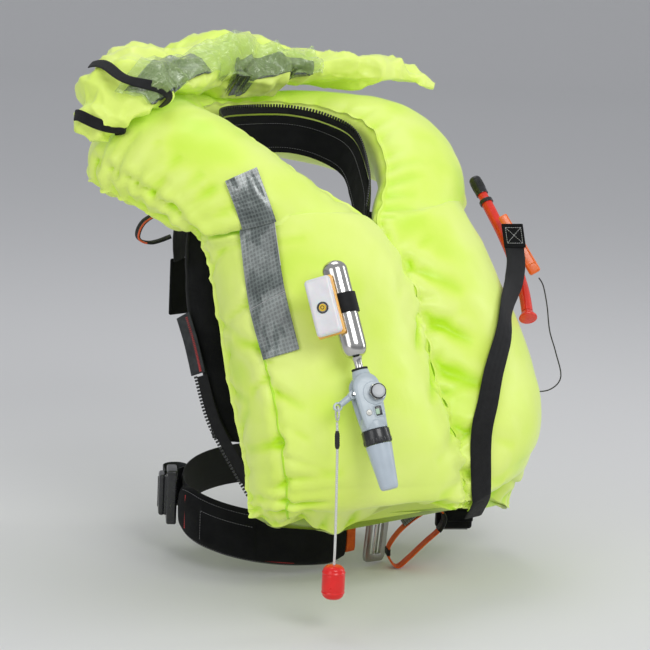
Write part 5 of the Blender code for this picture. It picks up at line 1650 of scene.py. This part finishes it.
def lift_strap():
    """The strap over the left lobe that a rescuer lifts by, from under the lobe to its sewn head."""
    route, normals = [], []
    for t, degrees in LIFT_STRAP:
        place = BLADDER_END - t
        normal = smooth_bladder_normal(place, degrees)
        route.append(smooth_bladder_point(place, degrees) + normal * (STRAP_LIFT + WEBBING / 2))
        normals.append(normal)
    foot = route[0] + Vector((0.004, 0.014, -0.022))
    away = Vector((-0.45, -0.85, 0.25))
    route = [foot] + route + [Vector(p) for p in STRAP_HEAD]
    normals = [normals[0]] + normals + [away] * len(STRAP_HEAD)
    steps = 150
    line = curve_points(route, steps)
    facing = curve_points(normals, steps)
    strap("lift_webbing", line, facing, STRAP_WIDTH, WEBBING, "black_webbing", node="lift_strap",
          ripple=0.25 * MM)
    head_tab(line, facing)


def head_tab(line, facing):
    """The doubled end of the lift strap, sewn with a crossed square."""
    end, before = line[-1], line[-16]
    up = (end - before).normalized()
    out = facing[-1].normalized()
    out = (out - up * out.dot(up)).normalized()
    side = up.cross(out)
    centre = line[-9] + out * 2.6 * MM
    place = Matrix.Translation(centre) @ Matrix((side, -out, up)).transposed().to_4x4()
    Shape().rounded_box((28, 2.4, 31), place, 1.1).make(
        "lift_strap_tab", "black_cloth", sharp=SOFT, slot="black_webbing")
    top = centre + out * 1.5 * MM
    half = 10 * MM
    corner = [top + side * x * half + up * z * half for x, z in ((-1, -1), (1, -1), (1, 1), (-1, 1))]
    rows = [corner + corner[:1], corner[::2], corner[1::2]]
    stitches("lift_strap_stitching", rows, "white_thread", pitch=2.4 * MM, length=1.7 * MM, radius=0.35 * MM)


# ---- Firing head ------------------------------------------------------------------------------------
HEAD_ORIGIN = Vector(JOINTS["cylinder_turn"]["pos_m"])
HEAD_UP = Vector(JOINTS["cylinder_turn"]["axis"])
HEAD_BACK = -Vector(JOINTS["lever_pull"]["axis"])
HEAD = turning(HEAD_ORIGIN, HEAD_BACK.cross(HEAD_UP), HEAD_UP)
CASING_FACE = 13.5                         # mm from the casing's middle to its front and back
CASING_TOP, CASING_SHOULDER, CASING_FOOT = 24 * MM, 9 * MM, -38 * MM
CASING_MIDDLE = (CASING_TOP + CASING_FOOT) / 2
HALF_AT_TOP, HALF_AT_FOOT = 15 * MM, 12 * MM


def at(x, y, z):
    """The firing head's frame shifted by millimetres."""
    return shifted(HEAD, x, y, z)


def egg(least_x=-1.0):
    """The casing's outline, wider at the nut than at the foot; none of it lies left of least_x."""
    side, crown = [], []
    for k in range(9):
        u = k / 8
        side.append((HALF_AT_FOOT + (HALF_AT_TOP - HALF_AT_FOOT) * math.sin(u * math.pi / 2),
                     CASING_FOOT + (CASING_SHOULDER - CASING_FOOT) * u))
    for k in range(1, 40):
        a = math.pi * k / 40
        rise = (CASING_TOP - CASING_SHOULDER) * math.sin(a)
        crown.append((HALF_AT_TOP * math.cos(a), CASING_SHOULDER + rise))
    points = side + crown + [(-x, z) for x, z in reversed(side)]
    return [(max(x, least_x), z) for x, z in points]


def slab(shape, outline, near, far, round_over):
    """The outline drawn out in depth from near to far, in millimetres, with its rims rounded."""
    rings = []
    for y, way in ((near, 1), (far, -1)):
        for k in range(6)[::way]:
            a = math.radians(90 * k / 5)
            inset = 1 - round_over * MM * (1 - math.sin(a)) / HALF_AT_TOP
            depth = (y + way * round_over * (1 - math.cos(a))) * MM
            rings.append([HEAD @ Vector((x * inset, depth, CASING_MIDDLE + (z - CASING_MIDDLE) * inset))
                          for x, z in outline])
    shape.loft(rings)


def firing_head():
    face = CASING_FACE
    shape = Shape()
    slab(shape, egg(), -face, -5.6, 4.2)
    slab(shape, egg(), 5.6, face, 4.2)
    slab(shape, egg(-7.0 * MM), -6.5, 6.5, 0.3)
    shape.turned(rounded_profile(solid_of(mm((10.5, 12), (10.2, 22), (8.8, 28.8))), 1.6), HEAD)
    shape.turned(rounded_profile(solid_of(mm((14.5, -37.9), (14.2, -30), (12, -24))), 1), HEAD)
    boss = mm((4.4, face - 4), (13.4, face - 4), (12.8, face + 0.9), (4.4, face + 0.9))
    shape.turned(rounded_profile(boss, 0.8), at(6, 0, 0), axis="Y")
    shape.make("head_casing", "grey_plastic", "inflator_body")
    screw = rounded_profile(solid_of(mm((3.3, face - 1), (3.3, face + 0.7))), 0.4)
    Shape().turned(screw, at(-5, 0, -20), 24, "Y").make("body_screw", "stamped_steel", slot="steel")
    window = at(5.5, -face - 0.1, -20)
    rim = plate_shape(Shape(), window, (11, 14), (7, 10.6), 1.8, 2.6, 1.4)
    rim.make("indicator_rim", "grey_plastic", slot="grey_plastic")
    well = Shape().rounded_box((6.4, 1.6, 10), window, 0.6)
    well.make("indicator_well", "black_plastic", slot="black_plastic")
    flag = Shape().rounded_box((4.2, 1.4, 6.2), at(4.2, -face - 0.7, -20.6), 0.6)
    flag.make("indicator_flag", "indicator_green", "status_indicator")


def nut():
    place = turning(JOINTS["nut_turn"]["pos_m"], HEAD_BACK.cross(HEAD_UP), HEAD_UP)
    hexagon = mm((4.4, 0.1), (9.4, 0.1), (9.6, 1.0), (9.6, 5.0), (8.9, 5.9), (4.4, 5.9))
    Shape().turned(hexagon, place, 6, "Y").make("hex_nut", "steel", "manifold_nut", "nut", 20)
    cap = rounded_profile(solid_of(mm((7.2, 6.2), (7.3, 8.2), (6.9, 9.3), (5.2, 9.9))), 0.7, 4)
    Shape().turned(cap, place, axis="Y").make("nut_dust_cap", "cap_plastic", "nut_cap", "nut")
    washer = band_profile(7.3, 8.5, 5.95, 7.2, closed=False)
    Shape().turned(washer, place, axis="Y").make("nut_washer", "rubber", body="nut", slot="rubber")


def lever():
    """The round stub of the firing lever, with its hub between the casing's halves and its eye."""
    pivot = Vector(JOINTS["lever_pull"]["pos_m"])
    length = (EYE - pivot).length
    along = (EYE - pivot).normalized()
    axes = Matrix((-along, HEAD_BACK, (-along).cross(HEAD_BACK))).transposed().to_4x4()
    place = Matrix.Translation(pivot) @ axes
    shape = Shape()
    shape.turned(rounded_profile(band_profile(1.8, 4.8, -5, 5, closed=False), 0.5), place, 32, "Y")
    line = [pivot + along * (3.0 * MM + (length - 6.2 * MM) * k / 16) for k in range(17)]
    tube_shape(shape, line, lambda u: (3.7 - 0.4 * u) * MM, 28)
    eye = place @ Matrix.Translation((-length, 0, 0))
    shape.turned(rounded_profile(band_profile(3.2, 5.1, -1.9, 1.9, closed=False), 0.7), eye, 32, "Y")
    shape.make("lever_arm", "grey_plastic", "inflator_lever", "lever")


def auto_head():
    """The automatic head: a ribbed ring under the casing and the long cap that turns below it."""
    shape = Shape().turned(rounded_profile(band_profile(9, 15.4, -53.9, -38.5), 0.8), HEAD, 64)
    for a in angles(20):
        rib = shifted(HEAD @ Matrix.Rotation(a, 4, "Z"), 0, -15.3, -50.5)
        shape.rounded_box((1.2, 0.8, 4.5), rib, 0.35, 2)
    shape.make("head_ring", "black_plastic", "cartridge_ring")
    cap = mm((0.05, -98), (0.05, -104), (8.4, -104), (10, -101.4), (14.4, -54.4), (11, -54.4), (8, -98),
             (0.05, -98))
    Shape().turned(rounded_profile(cap, 1.2, 4), HEAD, 64).make(
        "head_cap", "light_grey_plastic", "auto_cap", "auto_cap")


CYLINDER_RADIUS, CYLINDER_TOP = 14, 153    # millimetres, as the two below
CYLINDER_SHOULDER, CYLINDER_DOME = 58, 12


def gas_cylinder():
    profile = [(4.5, 21), (6.0, 22), (6.0, 29.5), (4.6, 30.5), (4.6, 38), (5.6, 42), (7, 44)]
    neck, low = profile[-1]
    for k in range(1, 17):
        a = math.radians(90 * k / 16)
        profile.append((neck + (CYLINDER_RADIUS - neck) * math.sin(a),
                        low + (CYLINDER_SHOULDER - low) * (1 - math.cos(a))))
    for k in range(1, 21):
        a = math.radians(88 * k / 20)
        profile.append((CYLINDER_RADIUS * math.cos(a), CYLINDER_TOP - CYLINDER_DOME * (1 - math.sin(a))))
    bottle = Shape().turned(solid_of(mm(*profile)), HEAD, 72)
    bottle.make("gas_cylinder", "steel", "co2_cylinder", "cylinder", 50)
    seal = rounded_profile(band_profile(6.3, 9, 28.9, 31), 0.7)
    Shape().turned(seal, HEAD).make("cylinder_seal", "rubber", slot="rubber")


LIGHT_TURN = 28                            # degrees round the cylinder
LIGHT_X, LIGHT_Z, LIGHT_REAR = -16, 103, -14.6
LIGHT_SIZE = (29, 10, 64)
LIGHT_TRAY = 6.3                           # mm from the light's rear to the back of its lens


def light():
    """The strap round the cylinder, and the light on it: a tray, a milky lens and a push button."""
    bore = CYLINDER_RADIUS + 0.3
    ring = rounded_profile(band_profile(bore, bore + 1.6, -11, 11), 0.4)
    Shape().turned(ring, at(0, 0, LIGHT_Z), 64).make("light_band", "black_webbing", "light_strap")
    turn = HEAD @ Matrix.Rotation(math.radians(-LIGHT_TURN), 4, "Z")
    width, depth, height = LIGHT_SIZE
    rear = shifted(turn, LIGHT_X, LIGHT_REAR - 3, LIGHT_Z)
    tray = Shape().rounded_box((width + 2, 5.8, height + 2), rear, 2.4, 6)
    tray.make("light_back", "light_orange", "light_tray")
    middle = LIGHT_REAR - LIGHT_TRAY - depth / 2
    lens = Shape().rounded_box((width, depth - 0.2, height), shifted(turn, LIGHT_X, middle, LIGHT_Z), 4.4, 8)
    lens.make("light_cover", "translucent_lens", "light_lens")
    button = shifted(turn, LIGHT_X, 0, LIGHT_Z - 2)
    face = depth + LIGHT_TRAY - LIGHT_REAR
    rim = rounded_profile(band_profile(4.6, 6.4, face - 0.6, face + 0.9), 0.4)
    Shape().turned(rim, button, axis="Y").make("button_rim", "black_plastic", "light_bezel")
    knob = rounded_profile(solid_of(mm((4.1, face - 0.2), (4.1, face + 1.1), (2.6, face + 1.35))), 0.3)
    Shape().turned(knob, button, 36, "Y").make("button_dome", "button_yellow", "light_button", "light_button")
    mark = band_profile(1.5, 2.2, face + 1.3, face + 1.5, closed=False)
    Shape().turned(mark, button, 32, "Y").make(
        "button_ring_mark", "rubber", body="light_button", slot="button_yellow")


# ---- Oral tube --------------------------------------------------------------------------------------
TUBE_ROUTE = [(0.179, -0.216, -0.084), (0.193, -0.197, -0.062), (0.210, -0.167, -0.034),
              (0.222, -0.136, -0.004), (0.230, -0.106, 0.024), (0.234, -0.086, 0.044)]
TUBE_RADIUS, TUBE_END_RADIUS = 7.0, 6.2    # millimetres; the end goes into the cap
TUBE_END = 0.88                            # the share of the tube's length at which its end starts


def tube_end(points, k):
    """A frame at one of the tube's ends, whose Z runs along the tube."""
    along = heading(points, k).normalized()
    return turning(points[k], along.cross(Vector((1, 0, 0))), along)


def oral_tube():
    """The oral inflation tube with its foot, its band and its ribbed dust cap."""
    points = curve_points(TUBE_ROUTE, 48)
    shape = tube_shape(Shape(), points, lambda u: (TUBE_RADIUS if u < TUBE_END else TUBE_END_RADIUS) * MM, 32)
    shape.make("tube_body", "tube_red", "oral_tube", sharp=50)
    foot, top = (tube_end(points, k) for k in (0, len(points) - 1))
    ring = rounded_profile(band_profile(TUBE_RADIUS + 0.3, 8.6, -20, -15), 0.6)
    Shape().turned(ring, top, 40).make("tube_band", "black_plastic", "tube_collar")
    cap = mm((0.05, 17), (6.5, 17), (6.5, -6), (7.7, -6), (7.7, 17.5), (6.3, 20), (0.05, 20), (0.05, 17))
    shape = Shape().turned(rounded_profile(cap, 0.9), top, 40)
    for a in angles(24):
        rib = shifted(top @ Matrix.Rotation(a, 4, "Z"), 0, -7.65, 8)
        shape.rounded_box((0.8, 0.7, 12), rib, 0.3, 2)
    shape.make("tube_dust_cap", "black_plastic", "tube_cap", "tube_cap")
    flare = rounded_profile(solid_of(mm((11, -10), (11, -7.4), (8, -4), (7.2, -0.3))), 1.2)
    Shape().turned(flare, foot, 40).make("tube_foot", "tube_red", "tube_base")


# ---- CAD nodes that keep their shape ----------------------------------------------------------------
KEPT = {
    "adjuster_pin": "steel", "lever_pin": "steel", "piercing_pin": "steel", "firing_spring": "steel",
    "manifold": "brass_stem", "manifold_seal": "rubber", "sensing_bobbin": "white_plastic",
    "tube_valve": "white_plastic",
}


def keep_nodes():
    for node, mat in KEPT.items():
        mesh = frame["nodes"][node].data
        mesh.materials.clear()
        mesh.materials.append(MAT[mat])


def main():
    camera()
    cords()
    studio()
    skin = bladder()
    weld_line()
    tape(skin)
    cloth = hood()
    hood_window(cloth)
    hood_elastics()
    for side, node in ((-1, "cover_right"), (1, "cover_left")):
        cover(side, node)
    for side, node in ((-1, "zip_tape_right"), (1, "zip_tape_left")):
        side_zip(side, node)
    side_tab()
    collar()
    neck_zip()
    harness()
    shoulder_loop()
    waist_belt()
    adjuster()
    buckle()
    tether()
    pouch()
    lift_strap()
    firing_head()
    nut()
    lever()
    auto_head()
    gas_cylinder()
    light()
    oral_tube()
    keep_nodes()


main()
